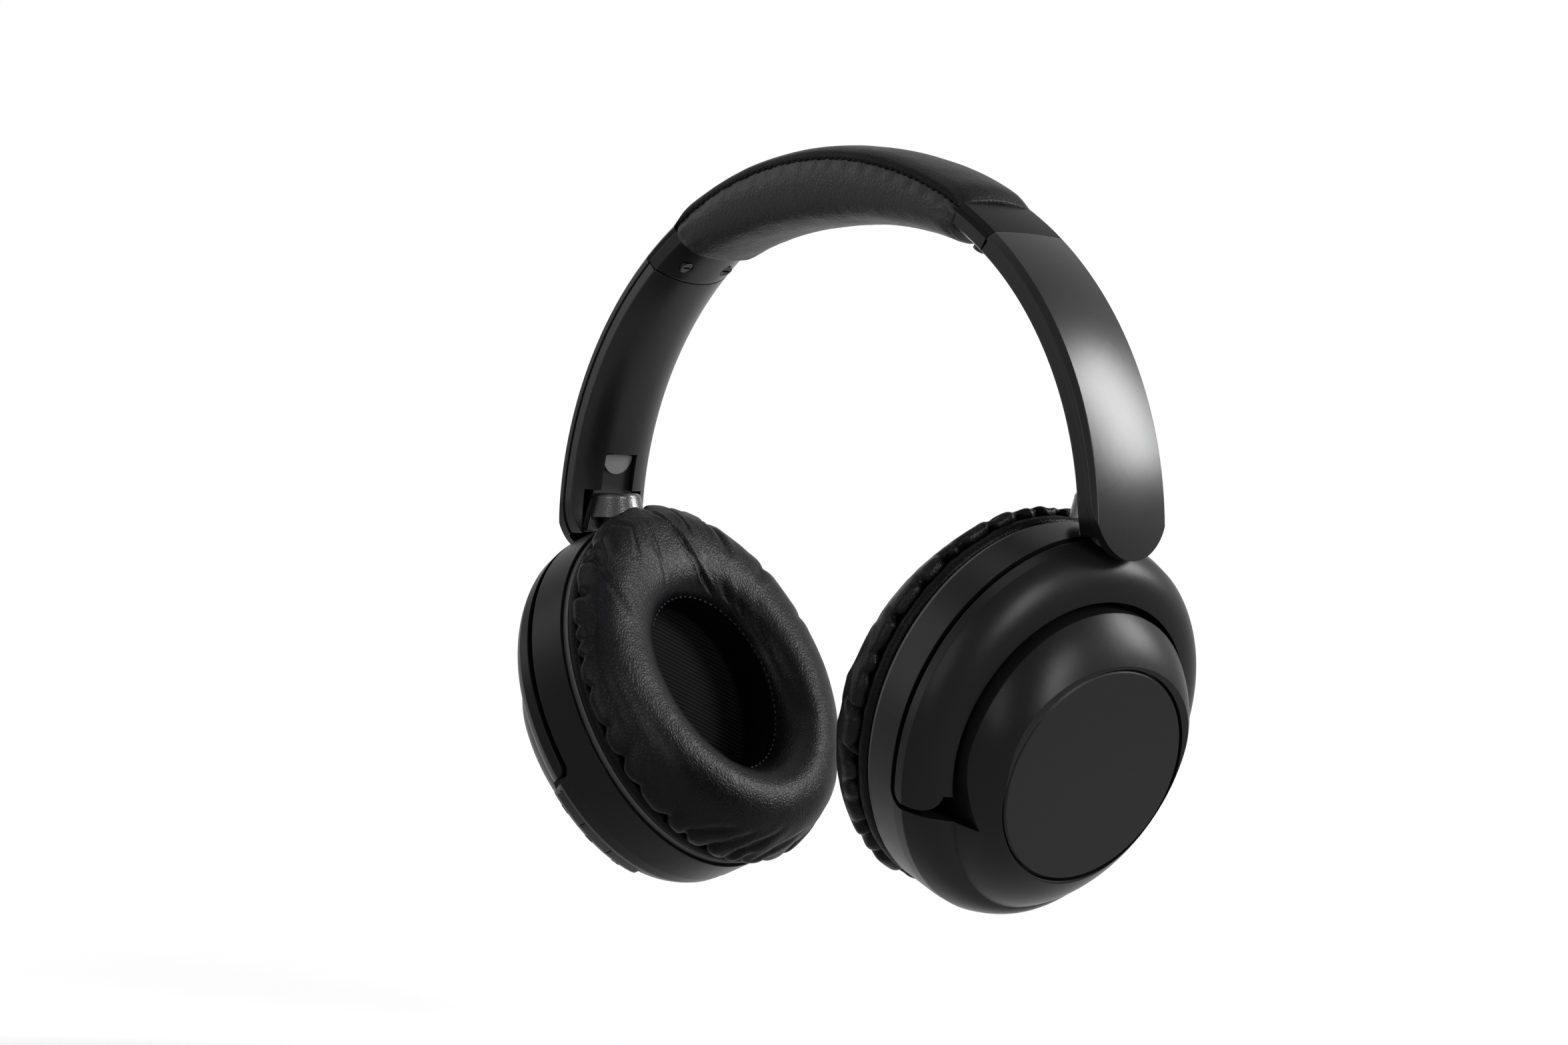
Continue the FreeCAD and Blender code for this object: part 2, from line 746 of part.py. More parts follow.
cap_row = (
    "size.cap_height",
    cap_lip,
    cap_lip - size("cap_offset"),
    cap_lip + size("cap_offset"),
)
brow_row = (
    "size.brow_height",
    size("brow_half_width"),
    size("brow_top"),
    size("brow_bottom"),
)
slope_form = cup_loft("slopeForm", [crease_row, brow_row, knee_row])
dome_form = cup_loft("domeForm", [knee_row, middle_row, cap_row])
lower_form = fuse("lowerForm", side_form, edge_form)
upper_form = fuse("upperForm", slope_form, dome_form)
whole_form = fuse("wholeForm", lower_form, upper_form)


def cup_pad(name, start, length, draw):
    """A straight block on the cup, drawn by a function at a starting height."""
    body = new_body(name)
    sketch = new_sketch(body, "YZ", name + "Outline", offset=start)
    draw(sketch)
    pad(body, sketch, length)
    put_on_cup(body)
    return body


def arch(name, floor, core_radius, end_radius, rounding, foot=0.0):
    """The space of a half ring round the dome with two round ends."""
    roof = 60.0
    drop = -size("yoke_end_drop")
    block = on_cup(box(name + "Block", (floor, -70, drop), (roof, 140, 140)))
    ends = []
    for side in (1, -1):
        start = (floor, side * size("yoke_end_reach"), drop)
        ends.append(
            on_cup(rod(f"{name}End{side + 1}", start, (1, 0, 0), end_radius, roof))
        )
    reach_out = size("yoke_end_reach")
    foot_corner = (floor, -reach_out, drop - foot)
    foot_block = box(name + "Foot", foot_corner, (roof, 2 * reach_out, foot + 8.0))
    ends.append(on_cup(foot_block))
    core_start = (floor - 1, 0, -0.7)
    core = on_cup(rod(name + "Core", core_start, (1, 0, 0), core_radius, roof + 2))
    joined = fuse(name + "Joined", block, *ends)
    lowest = drop - end_radius
    corner_start = (floor - 1, -70, lowest - 1)
    corner_block = box(name + "CornerBlock", corner_start, (rounding + 1, 140, rounding + 1))
    round_start = (floor + rounding, -70, lowest + rounding)
    corner_rod = rod(name + "CornerRod", round_start, (0, 1, 0), rounding, 140)
    corner = cut(name + "Corner", on_cup(corner_block), on_cup(corner_rod))
    return cut(name, joined, core, corner)


end_room = size("yoke_end_radius") + 1.3
yoke_channel = arch(
    "yokeChannel",
    size("channel_floor"),
    size("dome_radius"),
    end_room,
    size("yoke_rounding") + 1.3,
    end_room,
)
yoke_arch = arch(
    "yokeArch",
    size("channel_floor") + size("channel_gap"),
    size("dome_radius") + size("channel_gap"),
    size("yoke_end_radius"),
    size("yoke_rounding"),
)

rim_room = cup_pad(
    "rimRoom",
    -1.0,
    8.2,
    lambda sketch: oval(
        sketch,
        size("rim_half_width") - size("wall"),
        size("rim_top") - size("wall"),
        size("rim_bottom") - size("wall"),
    ),
)
dome_room = on_cup(
    rod("domeRoom", (7, 0, -0.7), (1, 0, 0), size("dome_radius") + 0.1, 7.6)
)
pin_rods, pin_rooms = [], []
for side in (1, -1):
    inside = side * 26.0
    start = (size("pivot_height"), inside, -size("yoke_end_drop"))
    along = (0, side, 0)
    pin_rods.append(
        on_cup(rod(f"pin{side + 1}", start, along, "size.pivot_radius", 12.0))
    )
    room = "size.pivot_radius + size.running_gap"
    pin_rooms.append(
        on_cup(rod(f"pinRoom{side + 1}", start, along, room, 9.0))
    )
screw_spots = [(24.8, -24.8), (-24.8, -24.8), (0.0, -38.5)]
housing_screws, housing_rooms = [], []
for index, (across, up) in enumerate(screw_spots):
    head = on_cup(rod(f"cupHead{index}", (5.4, across, up), (1, 0, 0), 2.0, 1.8))
    shank = on_cup(rod(f"cupShank{index}", (7.2, across, up), (1, 0, 0), 1.0, 9.0))
    housing_screws.append(fuse(f"cupScrew{index}", head, shank))
    housing_rooms.append(
        on_cup(rod(f"cupScrewRoom{index}", (7.0, across, up), (1, 0, 0), 1.0, 9.2))
    )
pieces["front_housing_R"] = cut(
    "front_housing_R",
    lower_form,
    yoke_channel,
    rim_room,
    dome_room,
    *pin_rooms,
    *housing_rooms,
)

dome_ring = on_cup(
    rod("domeRing", (size("channel_floor"), 0, -0.7), (1, 0, 0), "size.dome_radius", 5.3)
)
upper_cut = cut("upperCut", upper_form, yoke_channel)
rear_solid = fuse("rearSolid", upper_cut, dome_ring)
chamber = new_body("chamber")
chamber_sketch = new_sketch(chamber, "XY", "chamberProfile")
outline(
    chamber_sketch,
    [
        (6.0, 0.0),
        (6.0, "size.dome_radius - 2"),
        (18.6, "size.dome_radius - 2"),
        ("size.cap_height - 3.4", "size.cap_radius - 4.4"),
        ("size.cap_height - 3.4", 0.0),
    ],
)
revolve(chamber, chamber_sketch, 360.0)
put_on_cup(chamber, -2.0)
bosses = []
for side in (1, -1):
    start = (size("pivot_height"), side * 25.6, -size("yoke_end_drop"))
    bosses.append(on_cup(rod(f"pinBoss{side + 1}", start, (0, side, 0), 3.4, 3.4)))
cap_start = (size("cap_height") - 1.8, 0, -size("cap_offset"))
cap_room = on_cup(
    rod("capRoom", cap_start, (1, 0, 0), "size.cap_radius + 0.45", 6)
)
rear_hollow = cut("rearHollow", rear_solid, chamber)
rear_bossed = fuse("rearBossed", rear_hollow, *bosses)
pieces["rear_housing_R"] = cut(
    "rear_housing_R", rear_bossed, cap_room, *pin_rooms, *housing_rooms
)
pieces["housing_screws_R"] = group("housing_screws_R", *housing_screws)

cap = new_body("cap_disc_R")
cap_sketch = new_sketch(cap, "XY", "capProfile")
outline(
    cap_sketch,
    [
        ("size.cap_height - 1.8", 0.0),
        ("size.cap_height - 1.8", "size.cap_radius"),
        ("size.cap_height - 0.55", "size.cap_radius"),
        ("size.cap_height - 0.1", "size.cap_radius - 0.45"),
        ("size.cap_height - 0.1", 0.0),
    ],
)
revolve(cap, cap_sketch, 360.0)
put_on_cup(cap, -size("cap_offset"))
pieces["cap_disc_R"] = cap

# ---- yoke: a half ring flush with the slope, on an upright stem ----

arch_solid = common("archSolid", whole_form, yoke_arch)
stem = rod("stem", (reach, 0, -5), (0, 0, 1), "size.stem_radius", 5 + size("stem_top"))
over_cup = on_cup(box("overCup", (-12, -40, 0), (12 + size("channel_floor") + 1.6, 80, 46.2)))
stem_top_part = cut("stemTrimmed", stem, over_cup)
screw_hole = rod("stemHole", (reach, 0, -1), (0, 0, 1), 1.0, 8)
yoke_joined = fuse("yokeJoined", arch_solid, stem_top_part)
pieces["yoke_R"] = cut("yoke_R", yoke_joined, screw_hole, *pin_rods)
washer = rod("washer", (reach, 0, size("stem_top")), (0, 0, 1), 5.4, 0.8)
screw_cap = rod("swivelHead", (reach, 0, size("stem_top") + 0.8), (0, 0, 1), 2.2, 1.3)
screw_rod = rod("swivelShank", (reach, 0, 0), (0, 0, 1), 1.0, size("stem_top") + 0.2)
pieces["swivel_screw_R"] = fuse("swivel_screw_R", washer, screw_cap, screw_rod)
pieces["tilt_pins_R"] = group("tilt_pins_R", *pin_rods)

# ---- inside the cup and the ear cushion ----

wall = size("wall")


def inner_oval(sketch):
    oval(
        sketch,
        size("rim_half_width") - wall,
        size("rim_top") - wall,
        size("rim_bottom") - wall,
    )


baffle_form = cup_pad("baffleForm", 1.2, 2.2, inner_oval)
driver_room = on_cup(
    rod("driverRoom", (0, 0, -2), (1, 0, 0), "size.driver_radius", 10)
)
vents = []
for index in range(10):
    angle = math.radians(36 * index + 18)
    spot = (0, 26 * math.cos(angle), -2 + 26 * math.sin(angle))
    vents.append(on_cup(rod(f"vent{index}", spot, (1, 0, 0), 1.3, 6)))
vent_group = group("ventGroup", *vents)
pieces["baffle_R"] = cut("baffle_R", baffle_form, driver_room, vent_group)

driver = new_body("driver_R")
driver_sketch = new_sketch(driver, "XY", "driverProfile")
outline(
    driver_sketch,
    [
        (1.5, 17.6),
        (1.5, "size.driver_radius"),
        (4.6, "size.driver_radius"),
        (7.4, 14.0),
        (10.4, 14.0),
        (10.4, 0.0),
        (6.2, 0.0),
        (6.2, 12.0),
        (3.0, 17.6),
    ],
)
revolve(driver, driver_sketch, 360.0)
put_on_cup(driver, -2.0)
pieces["driver_R"] = driver

diaphragm = new_body("diaphragm_R")
diaphragm_sketch = new_sketch(diaphragm, "XY", "diaphragmProfile")
outline(
    diaphragm_sketch,
    [
        (2.9, 0.0),
        (3.3, 0.0),
        (4.5, 8.0),
        (3.0, 17.6),
        (2.6, 17.6),
        (4.1, 8.0),
    ],
)
revolve(diaphragm, diaphragm_sketch, 360.0)
put_on_cup(diaphragm, -2.0)
pieces["diaphragm_R"] = diaphragm

pieces["grille_cloth_R"] = cup_pad(
    "grille_cloth_R",
    0.6,
    0.6,
    lambda sketch: oval(
        sketch,
        size("opening_half_width") + 8,
        size("opening_top") + 8,
        size("opening_bottom") + 8,
    ),
)
ring_form = cup_pad(
    "padRingForm",
    -1.6,
    1.6,
    lambda sketch: oval(
        sketch,
        size("rim_half_width") - 0.9,
        size("rim_top") - 0.9,
        size("rim_bottom") - 0.9,
    ),
)
ring_hole = cup_pad(
    "padRingHole",
    -5.0,
    9.0,
    lambda sketch: oval(
        sketch,
        size("opening_half_width") + 6,
        size("opening_top") + 6,
        size("opening_bottom") + 6,
    ),
)
pieces["pad_ring_R"] = cut("pad_ring_R", ring_form, ring_hole)

ear_pad = new_body("earPadForm")
pad_sections = []
# how far along the depth of the cushion, and how far inside the rim
PAD_STEPS = [(0.0, 0.4), (0.3, -0.1), (0.62, 1.2), (0.88, 5.2), (1.0, 11.5)]
for index, (share, inset) in enumerate(PAD_STEPS):
    sketch = new_sketch(
        ear_pad, "YZ", f"earPadSection{index}", offset=f"-1.6 - {share} * size.cushion_depth"
    )
    oval(
        sketch,
        size("rim_half_width") - inset,
        size("rim_top") - inset,
        size("rim_bottom") - inset,
    )
    pad_sections.append(sketch)
loft(ear_pad, pad_sections)
put_on_cup(ear_pad)
crest = -1.6 - size("cushion_depth")
# the mouth of the opening flares out over the rolled edge of the cushion
MOUTH_STEPS = [(-1.0, 6.5), (1.0, 3.6), (4.0, 1.0), (8.0, 0.0), (16.0, 0.6), (24.0, 1.6)]
mouth_rows = []
for depth, flare in MOUTH_STEPS:
    mouth_rows.append(
        (
            crest + depth,
            size("opening_half_width") + flare,
            size("opening_top") + flare,
            size("opening_bottom") + flare,
        )
    )
mouth = cup_loft("earMouth", mouth_rows)
pieces["ear_pad_R"] = cut("ear_pad_R", ear_pad, mouth)

battery = on_cup(
    box("battery_R", (size("cap_height") - 3.4 - 5.0, -16, -13), (5.0, 32, 22))
)
pieces["battery_R"] = battery

# ---- left side: mirror twins, then the keys, the sockets and the main board ----

pieces["headband_spring"] = drilled_core
LEFT_PLAIN = [
    "collar_outer",
    "collar_inner",
    "collar_screws",
    "arm_outer",
    "arm_inner",
    "slider_plate",
    "slider_rivets",
    "side_mark",
    "knuckle",
    "swivel_screw",
    "yoke",
    "tilt_pins",
    "housing_screws",
    "cap_disc",
    "baffle",
    "grille_cloth",
    "driver",
    "diaphragm",
    "pad_ring",
    "ear_pad",
]
for name in LEFT_PLAIN:
    pieces[name + "_L"] = mirror(name + "_L", pieces[name + "_R"])


def key_ring(name, outset, inset, floor):
    """A band that follows the crease between two distances inside it."""
    width = size("crease_half_width")
    top = size("crease_top")
    bottom = size("rim_bottom") - 0.3
    outer_ring = cup_pad(
        name + "Outer",
        floor,
        30.0,
        lambda sketch: oval(sketch, width - outset, top - outset, bottom - outset),
    )
    inner_ring = cup_pad(
        name + "Inner",
        floor - 1,
        32.0,
        lambda sketch: oval(sketch, width - inset, top - inset, bottom - inset),
    )
    return cut(name, outer_ring, inner_ring)


def wedge(name, start, end, gap):
    """A slice of the cup between two angles, narrowed by a gap on both sides."""
    body = new_body(name)
    sketch = new_sketch(body, "YZ", name + "Outline", offset=0.0)
    reach = 90.0
    first, last = math.radians(start), math.radians(end)
    middle = (first + last) / 2
    lift = gap / math.sin((last - first) / 2)
    apex = (lift * math.cos(middle), lift * math.sin(middle))
    outline(
        sketch,
        [
            apex,
            (apex[0] + reach * math.cos(first), apex[1] + reach * math.sin(first)),
            (apex[0] + reach * math.cos(last), apex[1] + reach * math.sin(last)),
        ],
    )
    pad(body, sketch, 60.0)
    put_on_cup(body)
    return body


gap = size("key_gap")
inner_line = 1.0 + size("key_width")
key_floor = size("crease_height") - 2.3
key_band = key_ring("keyBand", 1.0, inner_line, key_floor)
key_room_band = key_ring("keyRoomBand", 1.0 - gap, inner_line + gap, key_floor - 0.8)
raised_form = document.addObject("Part::Compound", "raisedForm")
raised_form.Links = [whole_form]
raised_form.Placement.Base = cup_place.Rotation.multVec(
    FreeCAD.Vector(size("key_rise"), 0, 0)
)
span = (size("key_end") - size("key_start")) / 3
key_room = common(
    "keyRoom",
    key_room_band,
    wedge("keyRoomSlice", size("key_start") - 0.3, size("key_end") + 0.3, 0.0),
)
for index, label in enumerate(("minus", "main", "plus")):
    start = size("key_start") + index * span
    slice_of_row = wedge(label + "Slice", start, start + span, gap / 2)
    key = common(label + "KeyShape", key_band, raised_form, slice_of_row)
    pieces["button_" + label + "_L"] = mirror("button_" + label + "_L", key)

rear_left = cut("rearLeftKeyed", pieces["rear_housing_R"], key_room)
pieces["rear_housing_L"] = mirror("rear_housing_L", rear_left)

jack_top = -42.3 + size("jack_length") + 1.0
jack_body = on_cup(rod("jackBody", (10.8, 22.0, jack_top), (0, 0, -1), 3.2, 18.0))
jack_mouth = on_cup(rod("jackMouth", (10.8, 22.0, -41.0), (0, 0, -1), 3.2, 8.0))
jack_bore = on_cup(
    rod("jackBore", (10.8, 22.0, jack_top - 1.0), (0, 0, -1), "size.jack_radius", 18.0)
)
jack_form = common("jackForm", jack_body, lower_form)
jack = cut("jackShape", jack_form, jack_bore)
pieces["audio_socket_L"] = mirror("audio_socket_L", jack)
usb_body = on_cup(box("usbBody", (9.1, 4.5, -47.5), (3.3, 9.0, 8.3)))
usb_mouth = on_cup(box("usbMouth", (9.1, 4.5, -55.0), (3.3, 9.0, 9.0)))
usb_hole = on_cup(box("usbHole", (9.5, 4.9, -50.0), (2.5, 8.2, 9.8)))
usb_tongue = on_cup(box("usbTongue", (10.4, 5.8, -45.6), (0.7, 6.4, 6.4)))
usb_form = common("usbForm", usb_body, lower_form)
usb_shell = cut("usbShell", usb_form, usb_hole)
usb = fuse("usbShape", usb_shell, usb_tongue)
pieces["charging_socket_L"] = mirror("charging_socket_L", usb)
front_left = cut(
    "frontLeftPorts",
    pieces["front_housing_R"],
    key_room,
    jack_body,
    jack_mouth,
    usb_body,
    usb_mouth,
)
pieces["front_housing_L"] = mirror("front_housing_L", front_left)
board_start = (size("cap_height") - 3.4 - 1.6, 0, -2.0)
board = on_cup(rod("boardShape", board_start, (1, 0, 0), "size.cap_radius - 4.4", 1.6))
pieces["main_board_L"] = mirror("main_board_L", board)

# ---- check every object and write one file for each piece ----

document.recompute()
for item in document.Objects:
    if "Invalid" in item.State or "Error" in item.State:
        raise RuntimeError(f"{item.Name} did not build: {item.State}")
os.makedirs("parts", exist_ok=True)
for name, item in pieces.items():
    item.Label = name
    shape = item.Shape
    if shape.isNull() or not shape.isValid():
        raise RuntimeError(f"{name} is not a sound solid")
    shape.exportStep(f"parts/{name}.step")
print(len(pieces), "pieces written")
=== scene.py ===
import json
import math
import random

import bmesh
import bpy
import numpy as np
from mathutils import Matrix, Vector, noise


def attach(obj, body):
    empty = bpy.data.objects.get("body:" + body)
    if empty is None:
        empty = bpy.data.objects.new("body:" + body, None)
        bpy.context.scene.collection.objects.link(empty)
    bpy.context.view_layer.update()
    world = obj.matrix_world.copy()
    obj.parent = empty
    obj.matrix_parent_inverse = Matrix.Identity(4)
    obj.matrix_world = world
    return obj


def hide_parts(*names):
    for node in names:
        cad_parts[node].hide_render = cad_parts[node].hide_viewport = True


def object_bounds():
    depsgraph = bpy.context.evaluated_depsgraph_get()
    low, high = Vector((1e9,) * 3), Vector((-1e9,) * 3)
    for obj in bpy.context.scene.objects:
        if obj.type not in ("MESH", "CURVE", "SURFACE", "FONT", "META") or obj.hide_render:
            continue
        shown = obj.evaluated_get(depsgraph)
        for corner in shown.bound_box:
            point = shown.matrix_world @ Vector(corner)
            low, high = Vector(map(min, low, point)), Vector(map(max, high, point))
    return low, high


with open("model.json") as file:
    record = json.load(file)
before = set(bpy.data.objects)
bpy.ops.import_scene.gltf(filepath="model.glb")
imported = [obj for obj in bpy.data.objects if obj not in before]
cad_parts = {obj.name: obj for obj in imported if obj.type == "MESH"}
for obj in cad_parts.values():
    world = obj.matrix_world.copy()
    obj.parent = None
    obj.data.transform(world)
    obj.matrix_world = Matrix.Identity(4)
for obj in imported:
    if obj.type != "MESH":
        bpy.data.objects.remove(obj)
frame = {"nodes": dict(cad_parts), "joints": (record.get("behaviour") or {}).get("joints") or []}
nodes = frame["nodes"]
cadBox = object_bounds()
print("frame loaded:", len(nodes), "nodes")

mm = 0.001


# small helpers

def linear(hexCode):
    # #rrggbb as a screen shows it, turned to the linear values a shader needs
    parts = [int(hexCode[i:i + 2], 16) / 255 for i in (1, 3, 5)]
    return [p / 12.92 if p <= 0.04045 else ((p + 0.055) / 1.055) ** 2.4 for p in parts] + [1.0]


def addNode(tree, kind, settings=None, links=None):
    # settings with a leading dot are node attributes, the others are input sockets
    node = tree.nodes.new(kind)
    for key, value in (settings or {}).items():
        if str(key).startswith("."):
            setattr(node, key[1:], value)
        else:
            node.inputs[key].default_value = value
    for key, source in (links or {}).items():
        tree.links.new(source, node.inputs[key])
    return node


def newMaterial(name, **settings):
    material = bpy.data.materials.new(name)
    material.use_nodes = True
    tree = material.node_tree
    tree.nodes.clear()
    shader = addNode(tree, "ShaderNodeBsdfPrincipled", settings)
    output = addNode(tree, "ShaderNodeOutputMaterial", None, {"Surface": shader.outputs[0]})
    output.location = (400, 0)
    return material, tree, shader


def objectPoint(tree, scale=(1, 1, 1), turn=(0, 0, 0)):
    where = addNode(tree, "ShaderNodeTexCoord")
    return addNode(tree, "ShaderNodeMapping", {"Scale": scale, "Rotation": turn},
                   {"Vector": where.outputs["Object"]}).outputs[0]


def bumpChain(tree, shader, layers, edge=0):
    # each layer is a height output, its depth in millimetres and how strongly it shows
    # an edge radius in millimetres rounds the moulded corners for the light
    last = None
    if edge:
        last = addNode(tree, "ShaderNodeBevel", {".samples": 6, "Radius": edge * mm}).outputs[0]
    for height, depth, strength in layers:
        links = {"Height": height}
        if last:
            links["Normal"] = last
        last = addNode(tree, "ShaderNodeBump", {"Distance": depth * mm, "Strength": strength}, links).outputs[0]
    tree.links.new(last, shader.inputs["Normal"])


def varyRoughness(tree, shader, source, low, high):
    spread = addNode(tree, "ShaderNodeMapRange", {"To Min": low, "To Max": high}, {"Value": source})
    tree.links.new(spread.outputs[0], shader.inputs["Roughness"])


def varyColour(tree, shader, source, dark, light):
    mix = addNode(tree, "ShaderNodeMix", {".data_type": "RGBA"})
    # the colour sockets of the mix node come after the number and vector ones
    mix.inputs[6].default_value, mix.inputs[7].default_value = linear(dark), linear(light)
    tree.links.new(source, mix.inputs[0])
    tree.links.new(mix.outputs[2], shader.inputs["Base Color"])


# materials

def plasticBump(tree, shader, grain, depth, low, high):
    # spark-eroded mould texture: fine pits, drawn at twice their real width so that they show
    point = objectPoint(tree)
    pits = addNode(tree, "ShaderNodeTexNoise", {"Scale": 1 / (grain * mm), "Detail": 3.0, "Roughness": 0.6},
                   {"Vector": point})
    broad = addNode(tree, "ShaderNodeTexNoise", {"Scale": 1 / (22 * mm), "Detail": 2.0}, {"Vector": point})
    bumpChain(tree, shader, [(pits.outputs["Fac"], depth, 0.6)], 0.3)
    varyRoughness(tree, shader, broad.outputs["Fac"], low, high)
    return broad.outputs["Fac"]


def softTouchHousing():
    # ABS shell with a soft-touch matt lacquer: dark, broad and quiet highlights
    material, tree, shader = newMaterial("softTouchAbs", Roughness=0.36, IOR=1.48)
    shade = plasticBump(tree, shader, 0.32, 0.02, 0.31, 0.39)
    varyColour(tree, shader, shade, "#060607", "#0a0a0b")
    shader.inputs["Specular IOR Level"].default_value = 0.08
    return material


def outputOf(tree):
    return next(node for node in tree.nodes if node.type == "OUTPUT_MATERIAL").inputs["Surface"]


def paintShadeBy(tree, shader, mark):
    # painted shade: where the mark is one the surface is mixed into a near-black diffuse shader, standing in for the
    # shade at the bottom of a groove or a fold
    paintedShade = addNode(tree, "ShaderNodeBsdfDiffuse", {"Color": linear("#010101")})
    blend = addNode(tree, "ShaderNodeMixShader", None, {0: mark, 1: shader.outputs[0], 2: paintedShade.outputs[0]})
    tree.links.new(blend.outputs[0], outputOf(tree))


def seamAround(tree, shader, degrees):
    # the moulded joint between a collar and its arm: a fine groove square to the headband
    point = addNode(tree, "ShaderNodeTexCoord").outputs["Object"]
    part = addNode(tree, "ShaderNodeSeparateXYZ", None, {0: point}).outputs
    side = addNode(tree, "ShaderNodeMath", {".operation": "ABSOLUTE"}, {0: part["X"]}).outputs[0]
    angle = addNode(tree, "ShaderNodeMath", {".operation": "ARCTAN2"}, {0: side, 1: part["Z"]}).outputs[0]
    away = addNode(tree, "ShaderNodeMath", {".operation": "SUBTRACT", 1: math.radians(degrees)}, {0: angle}).outputs[0]
    gap = addNode(tree, "ShaderNodeMath", {".operation": "ABSOLUTE"}, {0: away}).outputs[0]
    # half a groove is 0.4 mm at the radius of the band, twice the real one so that it shows
    depth = addNode(tree, "ShaderNodeMapRange", {"From Max": 0.4 / 91, "To Min": 1.0, "To Max": 0.0,
                                                 ".interpolation_type": "SMOOTHSTEP"}, {"Value": gap}).outputs[0]
    # painted shade: the bottom of the groove between collar and arm is mixed to near black
    paintShadeBy(tree, shader, depth)
    before = shader.inputs["Normal"].links[0].from_socket
    groove = addNode(tree, "ShaderNodeBump", {".invert": True, "Distance": 0.2 * mm, "Strength": 1.0},
                     {"Height": depth, "Normal": before})
    tree.links.new(groove.outputs[0], shader.inputs["Normal"])


def satinArm():
    # moulded ABS, satin texture: the highlight on the outer face is soft but bright
    material, tree, shader = newMaterial("satinAbs", Roughness=0.36, IOR=1.5)
    shade = plasticBump(tree, shader, 0.28, 0.018, 0.24, 0.31)
    varyColour(tree, shader, shade, "#060607", "#090909")
    shader.inputs["Specular IOR Level"].default_value = 0.15
    seamAround(tree, shader, 40.0)
    return material


def grainedKnuckle():
    # glossy polyamide with a coarse etched grain, drawn a little coarser than real: many small sparkles
    material, tree, shader = newMaterial("etchedGlossPolyamide", Roughness=0.30, IOR=1.53)
    point = objectPoint(tree)
    cells = addNode(tree, "ShaderNodeTexVoronoi", {"Scale": 1 / (0.5 * mm), ".feature": "F1"}, {"Vector": point})
    fine = addNode(tree, "ShaderNodeTexNoise", {"Scale": 1 / (0.35 * mm), "Detail": 2.0}, {"Vector": point})
    bumpChain(tree, shader, [(cells.outputs["Distance"], 0.05, 0.7), (fine.outputs["Fac"], 0.03, 0.5)], 0.3)
    varyColour(tree, shader, fine.outputs["Fac"], "#0c0c0d", "#141415")
    shader.inputs["Specular IOR Level"].default_value = 0.42
    return material


def leather(name, grain, low, high, dark, light, depth, level):
    # protein leather: pebbled grain with soft creases, a little sheen from the top coat
    material, tree, shader = newMaterial(name, Roughness=0.42, IOR=1.5)
    point = objectPoint(tree)
    wander = addNode(tree, "ShaderNodeTexNoise", {"Scale": 1 / (3.0 * mm), "Detail": 2.0}, {"Vector": point})
    shift = addNode(tree, "ShaderNodeVectorMath", {".operation": "SCALE", "Scale": 1.1 * mm},
                    {0: wander.outputs["Color"]})
    moved = addNode(tree, "ShaderNodeVectorMath", {".operation": "ADD"}, {0: point, 1: shift.outputs[0]})
    cells = addNode(tree, "ShaderNodeTexVoronoi",
                    {"Scale": 1 / (grain * mm), ".feature": "DISTANCE_TO_EDGE"}, {"Vector": moved.outputs[0]})
    pebble = addNode(tree, "ShaderNodeMapRange",
                     {"From Max": 0.32, ".interpolation_type": "SMOOTHSTEP"}, {"Value": cells.outputs["Distance"]})
    pores = addNode(tree, "ShaderNodeTexNoise", {"Scale": 1 / (0.4 * mm), "Detail": 3.0}, {"Vector": point})
    crease = addNode(tree, "ShaderNodeTexNoise", {"Scale": 1 / (4.5 * mm), "Detail": 4.0, "Roughness": 0.65},
                     {"Vector": point})
    bumpChain(tree, shader, [(pebble.outputs[0], depth, 0.55), (pores.outputs["Fac"], 0.04, 0.4),
                             (crease.outputs["Fac"], 0.4, 0.2)])
    varyRoughness(tree, shader, crease.outputs["Fac"], low, high)
    varyColour(tree, shader, pebble.outputs[0], dark, light)
    shader.inputs["Specular IOR Level"].default_value = level
    # painted shade: the folds, the seam and the skirt marked in the shade attribute are mixed to near black
    paintShadeBy(tree, shader, addNode(tree, "ShaderNodeAttribute", {".attribute_name": "shade"}).outputs["Fac"])
    return material


def ribbedCloth():
    # knitted polyester mesh with fine diagonal ribs about a millimetre apart
    material, tree, shader = newMaterial("ribbedPolyester", Roughness=0.85, IOR=1.46)
    where = addNode(tree, "ShaderNodeUVMap", {".uv_map": "clothMap"})
    point = addNode(tree, "ShaderNodeMapping", {"Rotation": (0, 0, math.radians(24))},
                    {"Vector": where.outputs[0]}).outputs[0]
    # the map is in metres, and one full wave is one rib
    ribs = addNode(tree, "ShaderNodeTexWave",
                   {"Scale": 0.314 / (1.15 * mm), "Distortion": 0.6, "Detail": 1.0, "Detail Scale": 0.4,
                    ".bands_direction": "Y", ".wave_profile": "SIN"}, {"Vector": point})
    yarn = addNode(tree, "ShaderNodeTexVoronoi", {"Scale": 1 / (0.55 * mm)}, {"Vector": point})
    bumpChain(tree, shader, [(ribs.outputs["Fac"], 0.30, 0.9), (yarn.outputs["Distance"], 0.10, 0.6)])
    varyColour(tree, shader, ribs.outputs["Fac"], "#020203", "#0b0b0c")
    shader.inputs["Specular IOR Level"].default_value = 0.05
    # painted shade: the wall marked in the shade attribute is mixed to near black
    paintShadeBy(tree, shader, addNode(tree, "ShaderNodeAttribute", {".attribute_name": "shade"}).outputs["Fac"])
    shader.inputs["Sheen Weight"].default_value = 0.02
    shader.inputs["Sheen Roughness"].default_value = 0.5
    return material


